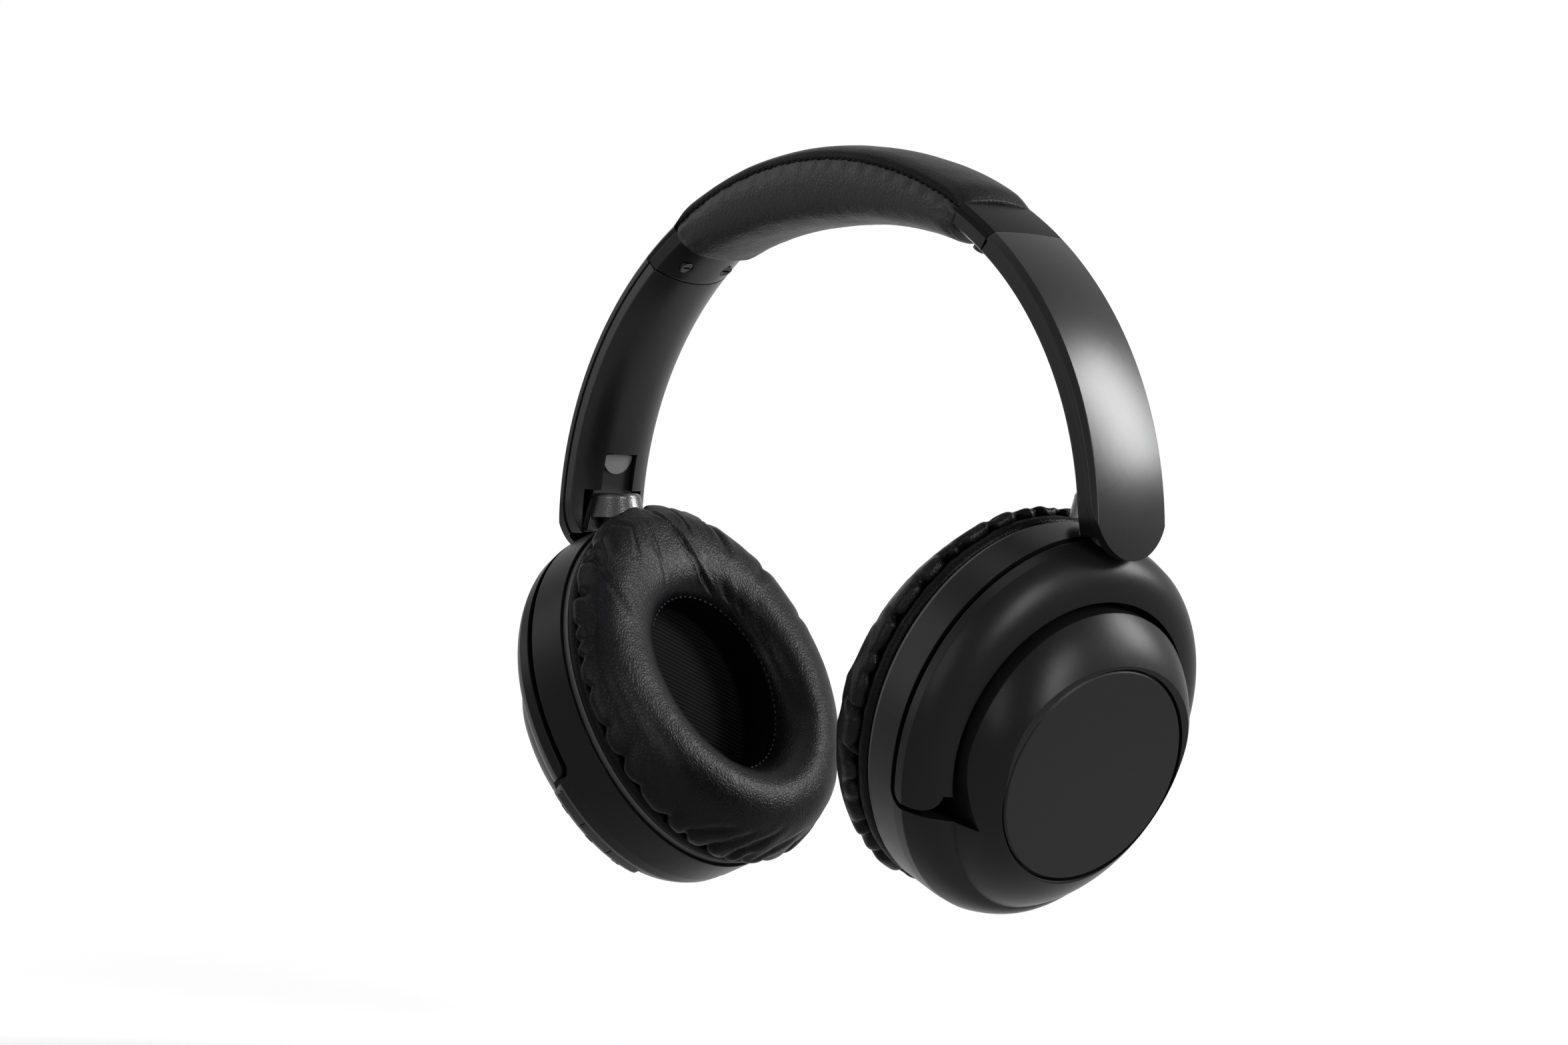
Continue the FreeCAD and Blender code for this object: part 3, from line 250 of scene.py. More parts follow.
def plainMetal(name, hexCode, roughness, stretch=(1, 1, 1)):
    # rolled or ground steel: faint lines along the strip
    material, tree, shader = newMaterial(name, Metallic=1.0, Roughness=roughness)
    point = objectPoint(tree, stretch)
    lines = addNode(tree, "ShaderNodeTexNoise", {"Scale": 1 / (0.6 * mm), "Detail": 2.0}, {"Vector": point})
    bumpChain(tree, shader, [(lines.outputs["Fac"], 0.01, 0.4)])
    varyRoughness(tree, shader, lines.outputs["Fac"], roughness - 0.06, roughness + 0.06)
    varyColour(tree, shader, lines.outputs["Fac"], hexCode, hexCode)
    return material


def plainPlastic(name, dark, light, roughness, grain=0.5, level=0.5):
    material, tree, shader = newMaterial(name, Roughness=roughness, IOR=1.5)
    shade = plasticBump(tree, shader, grain, 0.02, roughness - 0.05, roughness + 0.05)
    varyColour(tree, shader, shade, dark, light)
    shader.inputs["Specular IOR Level"].default_value = level
    return material


finishes = {
    "housing": softTouchHousing(),
    "satin": satinArm(),
    "knuckle": grainedKnuckle(),
    "cap": plainPlastic("fineMattAbs", "#070708", "#0a0a0b", 0.42, 0.22, 0.10),  # finer, drier than the shell
    "padLeather": leather("padProteinLeather", 0.9, 0.31, 0.42, "#040405", "#08080a", 0.07, 0.065),
    "bandLeather": leather("bandProteinLeather", 1.0, 0.38, 0.50, "#080809", "#0e0e0f", 0.09, 0.2),
    "coverLeather": leather("coverProteinLeather", 1.2, 0.36, 0.46, "#060607", "#0a0a0b", 0.06, 0.045),
    "cloth": ribbedCloth(),
    "collar": plainPlastic("mattCollarAbs", "#050506", "#080808", 0.36, 0.28, 0.035),
    "thread": plainPlastic("waxedPolyesterThread", "#09090a", "#111112", 0.55, 0.3, 0.15),
    "darkThread": plainPlastic("bondedNylonThread", "#020203", "#050506", 0.55, 0.3, 0.05),
    "mark": plainPlastic("satinGreyPrint", "#3c3d3e", "#454647", 0.40, 0.35),
    "plate": plainPlastic("burnishedBlackSteel", "#0b0b0c", "#101011", 0.34, 0.3, 0.14),
    "keys": plainPlastic("softTouchKeyAbs", "#09090a", "#0c0c0d", 0.42, 0.3, 0.16),
    "keyMark": plainPlastic("mouldedKeySymbol", "#1e1e1f", "#242425", 0.36, 0.4, 0.3),
    "screw": plainMetal("blackZincSteel", "#2a2a2c", 0.38),
    "steel": plainMetal("springSteel", "#8d8f92", 0.33, (1, 9, 1)),
    "socket": plainMetal("nickelShell", "#a2a4a6", 0.30),
    "nylon": plainPlastic("mouldedNylon", "#101011", "#151516", 0.42),
    "inner": plainPlastic("baffleAbs", "#141415", "#1a1a1b", 0.6),
    "film": plainPlastic("mylarFilm", "#3a3c40", "#46484c", 0.22),
    "board": plainPlastic("solderMask", "#123a24", "#174a2e", 0.35),
    "wrap": plainPlastic("batterySleeve", "#26303f", "#2c3849", 0.4),
}

nodeFinish = {
    "headband_spring": "steel", "collar_outer": "collar", "collar_inner": "satin", "collar_screws": "screw",
    "arm_outer": "satin", "arm_inner": "satin", "slider_plate": "plate", "slider_rivets": "screw",
    "side_mark": "mark", "knuckle": "knuckle", "yoke": "housing", "tilt_pins": "steel", "swivel_screw": "screw",
    "front_housing": "housing", "rear_housing": "housing", "housing_screws": "screw", "cap_disc": "cap",
    "baffle": "inner", "driver": "inner", "diaphragm": "film", "pad_ring": "inner", "battery": "wrap",
    "main_board": "board", "audio_socket": "nylon", "charging_socket": "socket",
    "button_minus": "keys", "button_main": "keys", "button_plus": "keys",
}
for nodeName, item in nodes.items():
    stem = nodeName[:-2] if nodeName[-2:] in ("_R", "_L") else nodeName
    if stem in nodeFinish:
        for place in item.material_slots:
            place.material = finishes[nodeFinish[stem]]
print("materials ready:", len(finishes))


# camera, first because the views are judged from it

# angles in degrees, lengths in millimetres
cameraPlan = {
    "azimuth": 45.06, "elevation": -0.50, "roll": 0.77, "aim": (-20.5, 0, 2.53), "distance": 949.1,
    "lens": 88.78, "sensor": 36, "clip": (50, 20000),
}


def makeCamera(plan):
    a, e, r = (math.radians(plan[k]) for k in ("azimuth", "elevation", "roll"))
    right = Vector((math.cos(a), math.sin(a), 0))
    back = Vector((math.sin(a) * math.cos(e), -math.cos(a) * math.cos(e), math.sin(e)))
    up = back.cross(right)
    sideways = math.cos(r) * right + math.sin(r) * up
    upward = -math.sin(r) * right + math.cos(r) * up
    data = bpy.data.cameras.new("portraitCamera")
    data.lens, data.sensor_width = plan["lens"], plan["sensor"]
    data.clip_start, data.clip_end = (value * mm for value in plan["clip"])
    camera = bpy.data.objects.new("portraitCamera", data)
    bpy.context.scene.collection.objects.link(camera)
    place = Matrix((sideways, upward, back)).transposed().to_4x4()
    place.translation = Vector(plan["aim"]) * mm + back * plan["distance"] * mm
    camera.matrix_world = place
    bpy.context.scene.camera = camera


makeCamera(cameraPlan)


# mesh helpers

def meshPiece(name, points, faces, material, smooth=True):
    data = bpy.data.meshes.new(name)
    data.from_pydata([tuple(p) for p in points], [], faces)
    data.validate()
    data.materials.append(material)
    data.polygons.foreach_set("use_smooth", [smooth] * len(data.polygons))
    piece = bpy.data.objects.new(name, data)
    bpy.context.scene.collection.objects.link(piece)
    return piece


def shownMesh(owner):
    # the mesh that an object's modifiers make of it
    bpy.context.view_layer.update()
    return bpy.data.meshes.new_from_object(owner.evaluated_get(bpy.context.evaluated_depsgraph_get()))


def turnOutward(piece):
    # mirrored and spun shells can come out inside out
    shape = bmesh.new()
    shape.from_mesh(piece.data)
    bmesh.ops.remove_doubles(shape, verts=shape.verts, dist=0.003 * mm)
    bmesh.ops.recalc_face_normals(shape, faces=shape.faces)
    shape.to_mesh(piece.data)
    shape.free()


def gridFaces(rows, columns, closedRows=False, closedColumns=False, offset=0):
    faces = []
    for i in range(rows if closedRows else rows - 1):
        for j in range(columns if closedColumns else columns - 1):
            a, b = i * columns, ((i + 1) % rows) * columns
            k = (j + 1) % columns
            faces.append((offset + a + j, offset + a + k, offset + b + k, offset + b + j))
    return faces


def smoothLine(points, count):
    # an even Catmull-Rom line through the points, and the distance travelled to each of its spots
    pts = [np.array(p, float) for p in points]
    pts = [2 * pts[0] - pts[1]] + pts + [2 * pts[-1] - pts[-2]]
    line = []
    for i in range(1, len(pts) - 2):
        a, b, c, d = pts[i - 1:i + 3]
        for step in range(24):
            t = step / 24
            line.append(0.5 * (2 * b + (c - a) * t + (2 * a - 5 * b + 4 * c - d) * t ** 2
                               + (3 * b - a - 3 * c + d) * t ** 3))
    line.append(pts[-2])
    line = np.array(line)
    travel = np.concatenate([[0], np.cumsum(np.linalg.norm(np.diff(line, axis=0), axis=1))])
    goal = np.linspace(0, travel[-1], count)
    return np.stack([np.interp(goal, travel, line[:, k]) for k in range(line.shape[1])], axis=1), goal


def roughField(points, scale, seed):
    # smooth noise from -1 to 1 at each point, scale in millimetres
    shift = Vector((seed * 17.3, seed * 5.1, seed * 9.7))
    flat = points.reshape(-1, 3)
    values = [noise.noise(Vector(p) / scale + shift) for p in flat]
    return np.array(values).reshape(points.shape[:-1])


def cappedTube(grid):
    # points and faces of rows of corners in millimetres, closed at both ends by a fan
    rows, columns = grid.shape[:2]
    points = list(grid.reshape(-1, 3) * mm)
    faces = gridFaces(rows, columns, closedColumns=True)
    for base in (0, (rows - 1) * columns):
        points.append(grid[base // columns].mean(axis=0) * mm)
        faces += [(base + j, base + (j + 1) % columns, len(points) - 1) for j in range(columns)]
    return points, faces


def roughLayers(points, layers, seed=0):
    # each layer is its height and its scale in millimetres, and its own seed
    return sum(height * roughField(points, scale, seed + own) for height, scale, own in layers)


def gridNormals(points, closedFirst):
    if closedFirst:
        along = np.roll(points, -1, axis=0) - np.roll(points, 1, axis=0)
    else:
        along = np.gradient(points, axis=0)
    across = np.gradient(points, axis=1)
    normal = np.cross(along, across)
    return normal / np.maximum(np.linalg.norm(normal, axis=2, keepdims=True), 1e-9)


# the frame of each cup, from the joints: outward, across and upward

# how far the tilt axis lies outward of the middle of a cup, and below it
cupPlan = {"axisOut": 13.6, "axisDown": 14.0}


def cupFrame(sideName):
    joints = {j["name"]: j for j in frame["joints"]}
    sign = 1 if sideName == "right" else -1
    press = Vector(joints["press_main"]["axis"])
    outward = Vector((abs(press.x) * sign, -press.y, -press.z)).normalized()
    tilt = joints["tilt_" + sideName]
    across = Vector(tilt["axis"]).normalized()
    if across.y < 0:
        across.negate()
    upward = (outward.cross(across) * sign).normalized()
    pivot = Vector(tilt["pos_m"])
    centre = pivot - outward * cupPlan["axisOut"] * mm + upward * cupPlan["axisDown"] * mm
    return {"centre": centre, "axes": np.array([outward, across, upward]), "body": "cup_" + sideName}


cups = {"right": cupFrame("right"), "left": cupFrame("left")}


def onCup(cup, local):
    # local is an array of outward, across and upward distances in millimetres
    return np.asarray(local) * mm @ cup["axes"] + np.array(cup["centre"])


def ringOval(angle, inset, rim, opening):
    # an oval between the rim, inset 0, and the ear opening
    share = inset / (rim[0] - opening[0])
    wide = rim[0] + (opening[0] - rim[0]) * share
    top = rim[1] + (opening[1] - rim[1]) * share
    low = rim[2] + (opening[2] - rim[2]) * share
    return wide * np.cos(angle), np.where(np.sin(angle) > 0, top, low) * np.sin(angle)


# stitches: one tree lays short threads along a path

def stitchTree():
    tree = bpy.data.node_groups.new("stitchRow", "GeometryNodeTree")
    face = tree.interface
    face.new_socket("Geometry", in_out="INPUT", socket_type="NodeSocketGeometry")
    for name, value in (("Spacing", 0.002), ("Length", 0.0014), ("Thickness", 0.0005)):
        socket = face.new_socket(name, in_out="INPUT", socket_type="NodeSocketFloat")
        socket.default_value = value
    face.new_socket("Seed", in_out="INPUT", socket_type="NodeSocketInt").default_value = 3
    face.new_socket("Thread", in_out="INPUT", socket_type="NodeSocketMaterial")
    face.new_socket("Geometry", in_out="OUTPUT", socket_type="NodeSocketGeometry")
    given = addNode(tree, "NodeGroupInput").outputs
    spaced = addNode(tree, "GeometryNodeResampleCurve", {".mode": "LENGTH"},
                     {"Curve": given["Geometry"], "Length": given["Spacing"]})
    tangent = addNode(tree, "GeometryNodeInputTangent")
    turn = addNode(tree, "FunctionNodeAlignRotationToVector", {".axis": "X"}, {"Vector": tangent.outputs[0]})
    ball = addNode(tree, "GeometryNodeMeshUVSphere", {"Segments": 8, "Rings": 6, "Radius": 0.5})
    size = addNode(tree, "ShaderNodeCombineXYZ", None,
                   {"X": given["Length"], "Y": given["Thickness"], "Z": given["Thickness"]})
    thread = addNode(tree, "GeometryNodeTransform", None, {"Geometry": ball.outputs[0], "Scale": size.outputs[0]})
    vary = addNode(tree, "FunctionNodeRandomValue", {".data_type": "FLOAT", 2: 0.85, 3: 1.12},
                   {"Seed": given["Seed"]})
    laid = addNode(tree, "GeometryNodeInstanceOnPoints", None,
                   {"Points": spaced.outputs[0], "Instance": thread.outputs[0], "Rotation": turn.outputs[0],
                    "Scale": vary.outputs[1]})
    real = addNode(tree, "GeometryNodeRealizeInstances", None, {"Geometry": laid.outputs[0]})
    soft = addNode(tree, "GeometryNodeSetShadeSmooth", None, {"Geometry": real.outputs[0]})
    dressed = addNode(tree, "GeometryNodeSetMaterial", None, {"Geometry": soft.outputs[0], "Material": given["Thread"]})
    addNode(tree, "NodeGroupOutput", None, {"Geometry": dressed.outputs[0]})
    return tree


threadTree = stitchTree()


def stitchRow(name, points, closed, sizes, seed, material, body):
    line = bpy.data.curves.new(name + "Path", "CURVE")
    line.dimensions = "3D"
    spline = line.splines.new("POLY")
    spline.points.add(len(points) - 1)
    for spot, place in zip(spline.points, points):
        spot.co = (*place, 1)
    spline.use_cyclic_u = closed
    path = bpy.data.objects.new(name + "Path", line)
    bpy.context.scene.collection.objects.link(path)
    modifier = path.modifiers.new("stitches", "NODES")
    modifier.node_group = threadTree
    sockets = {s.name: s.identifier for s in threadTree.interface.items_tree if s.in_out == "INPUT"}
    for key, value in sizes.items():
        modifier[sockets[key]] = value * mm
    modifier[sockets["Seed"]], modifier[sockets["Thread"]] = seed, material
    data = shownMesh(path)
    data.name = name
    piece = bpy.data.objects.new(name, data)
    bpy.context.scene.collection.objects.link(piece)
    bpy.data.objects.remove(path)
    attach(piece, body)
    return piece


# ear cushions: gathered at the outer seam, one full roll that rounds into the ear opening

padPlan = {
    "rim": (41.6, 44.8, 48.0), "opening": (22.0, 24.5, 27.0),
    "around": 720, "across": 130,
    # outward distance and distance inside the rim, from the skirt to the lip of the opening
    "profile": [(-1.65, 1.6), (-2.0, 0.55), (-3.2, 0.0), (-4.4, 0.15), (-5.1, 0.85), (-5.5, 2.4), (-5.95, 0.75),
                (-6.9, -0.2), (-8.8, -0.55), (-11.6, -0.15), (-14.4, 0.95), (-17.3, 2.5), (-19.7, 4.9),
                (-21.4, 8.2), (-22.0, 11.8), (-21.2, 14.8), (-19.1, 17.2), (-15.9, 18.9), (-12.4, 19.7),
                (-10.6, 19.6), (-10.2, 18.6)],
    "seamAt": (-5.5, 2.4), "fullThickness": 22.0, "wall": 19.6,
    # the radius at which lengths around the cushion are measured
    "radius": 43.5,
    # how thick the cushion stands: the middle value, then its change towards the front edge and the top
    "thickness": {"right": (16.7, -2.3, -4.8), "left": (17.1, 1.6, -4.8)},
    "lipDrop": 1.7, "lipNarrow": 1.8,
    "lumps": ((0.22, 16, 0), (0.08, 6.5, 3), (0.03, 2.4, 5)),
    "seamWander": ((0.75, 7.5, 13), (0.25, 2.6, 17)),
    "lipStitch": (-12.4, 19.9), "thread": {"Spacing": 1.75, "Length": 1.15, "Thickness": 0.5},
    # the seed of each side's gathers, and how far its folds are turned round the ear
    "sides": {"right": (2, 47), "left": (5, 0)},
}
# the gathers over the seam and the smaller ones of the skirt behind it: ranges in millimetres
pleatPlan = {"spacing": 7.2, "gap": (0.5, 1.35), "deep": (0.9, 1.7), "wide": (0.65, 1.1), "long": (3.0, 7.0),
             "slant": (-0.35, 0.35)}
skirtPlan = {"spacing": 4.6, "gap": (0.5, 1.5), "deep": (0.25, 0.6), "wide": (0.5, 0.9), "start": 1.5}
# folds in the leather: angle and distance from the seam of each corner, then depth and width
padFolds = [
    ([(118, 5), (112, 14.7), (122, 22)], 0.25, 0.7), ([(104, 15), (107, 22.6), (112, 30.5)], 0.22, 0.8),
    ([(95, 12), (88, 22), (79, 29), (68, 34.5)], 0.75, 0.65), ([(84, 10), (82, 19)], 0.45, 0.6),
    ([(63, 29), (58, 32), (52, 34)], 0.6, 1.2), ([(51, 30.5), (36, 35.5)], 0.45, 1.5),
    ([(40, 31), (24, 33), (8, 33.8), (350, 33.4), (332, 31)], 0.50, 2.0),
    ([(140, 14), (158, 13.2), (173, 11), (188, 10.6), (202, 12)], 0.45, 2.4),
    ([(141, 12), (144, 16), (150, 22)], 0.5, 1.2), ([(134, 5), (128, 9), (133, 14)], -0.75, 1.7),
    ([(139, 4.5), (136, 9), (139, 13)], 0.7, 0.8), ([(236, 5), (241, 9), (249, 13.5)], 0.7, 1.0),
    ([(246, 4), (250, 8), (257, 14)], 0.6, 0.9), ([(255, 5), (261, 10), (270, 15.5)], 0.75, 1.0),
    ([(266, 5), (273, 9), (284, 12.5)], 0.65, 0.9), ([(281, 4), (290, 9), (303, 13)], 0.6, 1.0),
    ([(308, 4), (314, 11), (322, 17)], 0.6, 1.2), ([(20, 3), (17, 11), (20, 18)], 0.6, 1.3),
    ([(44, 4), (40, 13), (44, 21)], 0.7, 1.3), ([(64, 4), (67, 12), (62, 20)], 0.8, 1.2),
    ([(152, 3), (151, 9)], 0.7, 0.9), ([(336, 4), (340, 12)], 0.5, 1.1),
]


def turnFrom(turn, degrees):
    # the angle from a direction given in degrees, between minus and plus half a turn
    return (turn - math.radians(degrees) + math.pi) % (2 * math.pi) - math.pi


def distanceToLine(turn, reach, corners):
    # millimetres over the surface: an angle spans less leather nearer to the opening, by this share for each one
    narrowing = 0.011
    best = np.full(turn.shape, 1e3)
    total = max(len(corners) - 1, 1)
    share = np.zeros(turn.shape)
    for index, ((a, b), (c, d)) in enumerate(zip(corners, corners[1:])):
        width = padPlan["radius"] * (1 - narrowing * np.clip(reach, 0, 36))
        x = turnFrom(turn, a) * width
        y = reach - b
        span = (math.radians(c - a) + math.pi) % (2 * math.pi) - math.pi
        u, v = span * padPlan["radius"] * (1 - narrowing * (b + d) / 2), d - b
        along = np.clip((x * u + y * v) / (u * u + v * v), 0, 1)
        away = np.hypot(x - along * u, y - along * v)
        nearer = away < best
        share = np.where(nearer, (index + along) / total, share)
        best = np.minimum(best, away)
    return best, share


def settle(sideName, angle, depth, inset):
    # the foam has set lower at the crown of the ear, and its opening sits a little low
    base, across, upward = padPlan["thickness"][sideName]
    thick = base + across * np.cos(angle) + upward * np.sin(angle)
    seam = padPlan["seamAt"][0]
    deep = np.where(depth < seam, seam + (depth - seam) * (thick + seam) / (padPlan["fullThickness"] + seam), depth)
    share = np.clip(inset / padPlan["wall"], 0, 1)
    x, y = ringOval(angle, inset + padPlan["lipNarrow"] * share, padPlan["rim"], padPlan["opening"])
    return deep, x, y - padPlan["lipDrop"] * share


def padShape(sideName, seed, turned):
    plan = padPlan
    line, travel = smoothLine(plan["profile"], plan["across"])
    seam = travel[np.argmin(np.hypot(line[:, 0] - plan["seamAt"][0], line[:, 1] - plan["seamAt"][1]))]
    angle = np.linspace(0, 2 * math.pi, plan["around"], endpoint=False)
    turn, depth = np.meshgrid(angle, line[:, 0], indexing="ij")
    inset = np.meshgrid(angle, line[:, 1], indexing="ij")[1]
    reach = np.meshgrid(angle, travel - seam, indexing="ij")[1]
    depth, across, upward = settle(sideName, turn, depth, inset)
    points = np.stack([depth, across, upward], axis=2)
    normals = gridNormals(points, True)
    if normals[0, plan["across"] // 2, 0] > 0:
        normals = -normals
    chance = random.Random(seed)
    radius = plan["radius"]
    fall = np.zeros_like(depth)
    skirt = np.zeros_like(depth)
    spot = 0.0
    while spot < 360:
        deep, wide, long, slant = (chance.uniform(*pleatPlan[key]) for key in ("deep", "wide", "long", "slant"))
        gap = turnFrom(turn, spot) * radius
        bend = gap - slant * reach + 0.35 * np.sin(reach / 2.4 + spot)
        after = np.where(reach > 0, np.exp(-(np.maximum(reach, 0) / long) ** 1.6), 0)
        fall += deep * np.exp(-np.abs(bend / (wide * (1 + 0.10 * np.maximum(reach, 0)))) ** 1.6) * after
        spot += math.degrees(pleatPlan["spacing"] * chance.uniform(*pleatPlan["gap"]) / radius)
    spot = skirtPlan["start"]
    while spot < 360:
        gap = turnFrom(turn, spot) * radius
        deep, wide = (chance.uniform(*skirtPlan[key]) for key in ("deep", "wide"))
        skirt += deep * np.exp(-np.abs((gap + 0.3 * reach) / wide) ** 1.3) * np.exp(-(reach / 2.0) ** 2) * (reach <= 0)
        spot += math.degrees(skirtPlan["spacing"] * chance.uniform(*skirtPlan["gap"]) / radius)
    for corners, deep, wide in padFolds:
        moved = [(a + turned, b) for a, b in corners]
        away, share = distanceToLine(turn, reach, moved)
        away = away + 0.35 * np.sin(reach / 1.7 + seed)
        taper = np.clip(4 * share * (1 - share) + 0.15, 0, 1) ** 0.6
        core = np.exp(-np.abs(away / (wide * 0.8)) ** 1.5)
        fall += 0.8 * deep * taper * (core - 0.25 * np.exp(-((away - wide * 2.2) / (wide * 1.1)) ** 2))
    fall = np.clip(2.2 * np.tanh(fall / 2.2), -0.8, 3)
    puff = 1.05 * np.exp(-((reach - 3.4) / 3.2) ** 2) * np.exp(-1.6 * np.maximum(fall, 0))
    lump = roughLayers(points, plan["lumps"], seed)
    calm = np.clip((reach + 4.5) / 3.0, 0, 1) * np.clip((travel[-1] - seam - reach) / 4.0, 0.15, 1)
    points = points + normals * ((lump * calm - fall - skirt + puff)[..., None])
    # the gathered seam wanders along the skirt
    flat = np.stack([turn * radius, turn * 0, turn * 0], axis=2)
    wander = roughLayers(flat, plan["seamWander"], seed)
    points[..., 0] += wander * np.exp(-(reach / 2.4) ** 2)
    # painted shade: folds, the seam and the skirt behind it are marked to be painted dark
    shade = np.maximum(0.65 * np.clip(fall / 0.9, 0, 1), np.exp(-(reach / 1.6) ** 2))
    return points, np.maximum(0.85 * shade, 0.4 * (reach < 0))


def makePad(sideName, seed, turned):
    cup = cups[sideName]
    plan = padPlan
    points, shade = padShape(sideName, seed, turned)
    rows, columns = plan["around"], plan["across"]
    faces = gridFaces(rows, columns, closedRows=True)
    place = onCup(cup, points.reshape(-1, 3))
    # the back of the cushion closes it against the mounting ring
    back = [columns * i for i in range(rows)], [columns * i + columns - 1 for i in range(rows)]
    for i in range(rows):
        k = (i + 1) % rows
        faces.append((back[0][i], back[0][k], back[1][k], back[1][i]))
    piece = meshPiece("earCushion" + sideName.title(), place, faces, finishes["padLeather"])
    # the shade attribute carries the painted shade of the folds, seam and skirt to the leather
    piece.data.attributes.new("shade", "FLOAT", "POINT").data.foreach_set("value", shade.ravel())
    turnOutward(piece)
    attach(piece, cup["body"])
    letter = sideName[0].upper()
    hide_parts("ear_pad_" + letter)
    angle = np.linspace(0, 2 * math.pi, 260, endpoint=False)
    lip = settle(sideName, angle, plan["lipStitch"][0] + 0 * angle, plan["lipStitch"][1] + 0 * angle)
    path = onCup(cup, np.stack(lip, axis=1))
    stitchRow("lipStitches" + sideName.title(), path, True, plan["thread"], seed, finishes["thread"], cup["body"])
    return piece


for sideName, (seed, turned) in padPlan["sides"].items():
    makePad(sideName, seed, turned)
print("ear cushions made")


# ribbed cloth that lines each ear opening

clothPlan = {"floor": 0.35, "rings": 60, "around": 200, "edge": -10.6, "corner": 0.86, "bow": 0.6, "thickness": 0.3}


def makeCloth(sideName):
    cup = cups[sideName]
    plan = clothPlan
    opening = padPlan["opening"]
    wide, top, low = (value - 0.25 - padPlan["lipNarrow"] for value in opening)
    drop = padPlan["lipDrop"]
    points, chart, shade = [(plan["floor"] - plan["bow"], 0, -drop)], [(0, 0)], [0]
    for ring in range(1, plan["rings"] + 1):
        share = ring / plan["rings"]
        flat = min(share / plan["corner"], 1)
        rise = max(share - plan["corner"], 0) / (1 - plan["corner"])
        # the floor bows a little towards the ear, and turns up the wall with a rounded corner
        for step in range(plan["around"]):
            angle = 2 * math.pi * step / plan["around"]
            edge = float(settle(sideName, angle, plan["edge"], padPlan["wall"])[0])
            depth = plan["floor"] - plan["bow"] * (1 - flat ** 2) - (plan["floor"] - edge) * rise ** 1.25
            height = top if math.sin(angle) > 0 else low
            x, y = wide * math.cos(angle) * flat, height * math.sin(angle) * flat
            points.append((depth, x, y - drop))
            grow = 1 + (plan["floor"] - depth) / 24
            chart.append((x * grow * mm, y * grow * mm))
            # painted shade: the wall of the opening is marked to be painted dark
            shade.append(0.8 * min(rise * 4, 1))
    faces = [(0, 1 + (s + 1) % plan["around"], 1 + s) for s in range(plan["around"])]
    faces += gridFaces(plan["rings"], plan["around"], closedColumns=True, offset=1)
    piece = meshPiece("openingCloth" + sideName.title(), onCup(cup, points), faces, finishes["cloth"])
    piece.data.attributes.new("shade", "FLOAT", "POINT").data.foreach_set("value", shade)
    layer = piece.data.uv_layers.new(name="clothMap")
    for loop in piece.data.loops:
        layer.data[loop.index].uv = chart[loop.vertex_index]
    # one thin layer, given a small thickness so that it is closed
    solid = piece.modifiers.new("thickness", "SOLIDIFY")
    solid.thickness, solid.offset = plan["thickness"] * mm, 0
    data = shownMesh(piece)
    piece.modifiers.clear()
    piece.data = data
    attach(piece, cup["body"])
    letter = sideName[0].upper()
    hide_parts("grille_cloth_" + letter)
    return piece


for sideName in cups:
    makeCloth(sideName)
print("cloths made")


# head cushion and its top cover, sewn together along both sides

bandPlan = {
    "radius": 91.0, "half": 12.75, "endAngle": 32.28, "middle": 16.5, "end": 11.3, "rise": 2.45,
    "along": 300, "seamDepth": 1.55, "columns": 110, "coverColumns": 90,
    "lumps": ((0.22, 15, 2), (0.07, 4.5, 4), (0.035, 1.8, 6)),
    "coverLumps": ((0.16, 14, 21), (0.05, 4, 23)),
    # how deep the leather is tucked in at a collar, and over what length
    "tuck": ((0.55, 0.8), (0.25, 2.5)), "coverTuck": ((1.25, 3.0), (0.35, 0.7)),
    # the small puckers under every third stitch and the folds near a collar: how deep
    "pucker": 0.10, "puckerSpacing": 5.4, "gather": 0.16,
    "thread": {"Spacing": 2.05, "Length": 1.5, "Thickness": 0.62}, "threadSeed": 11,
}


def bandPoint(angle, across, radius):
    return np.stack([radius * np.sin(angle), across, radius * np.cos(angle)], axis=-1)


def cushionSection(thick):
    half, seam = bandPlan["half"], bandPlan["seamDepth"]
    right = [(half - 1.2, seam + 0.5), (half - 0.35, seam), (half + 0.25, seam + 0.9), (half + 0.85, 0.30 * thick),
             (half + 0.75, 0.48 * thick), (half - 0.3, 0.68 * thick), (half * 0.72, 0.88 * thick),
             (half * 0.38, 0.975 * thick), (0, thick)]
    return right + [(-y, d) for y, d in reversed(right[:-1])]


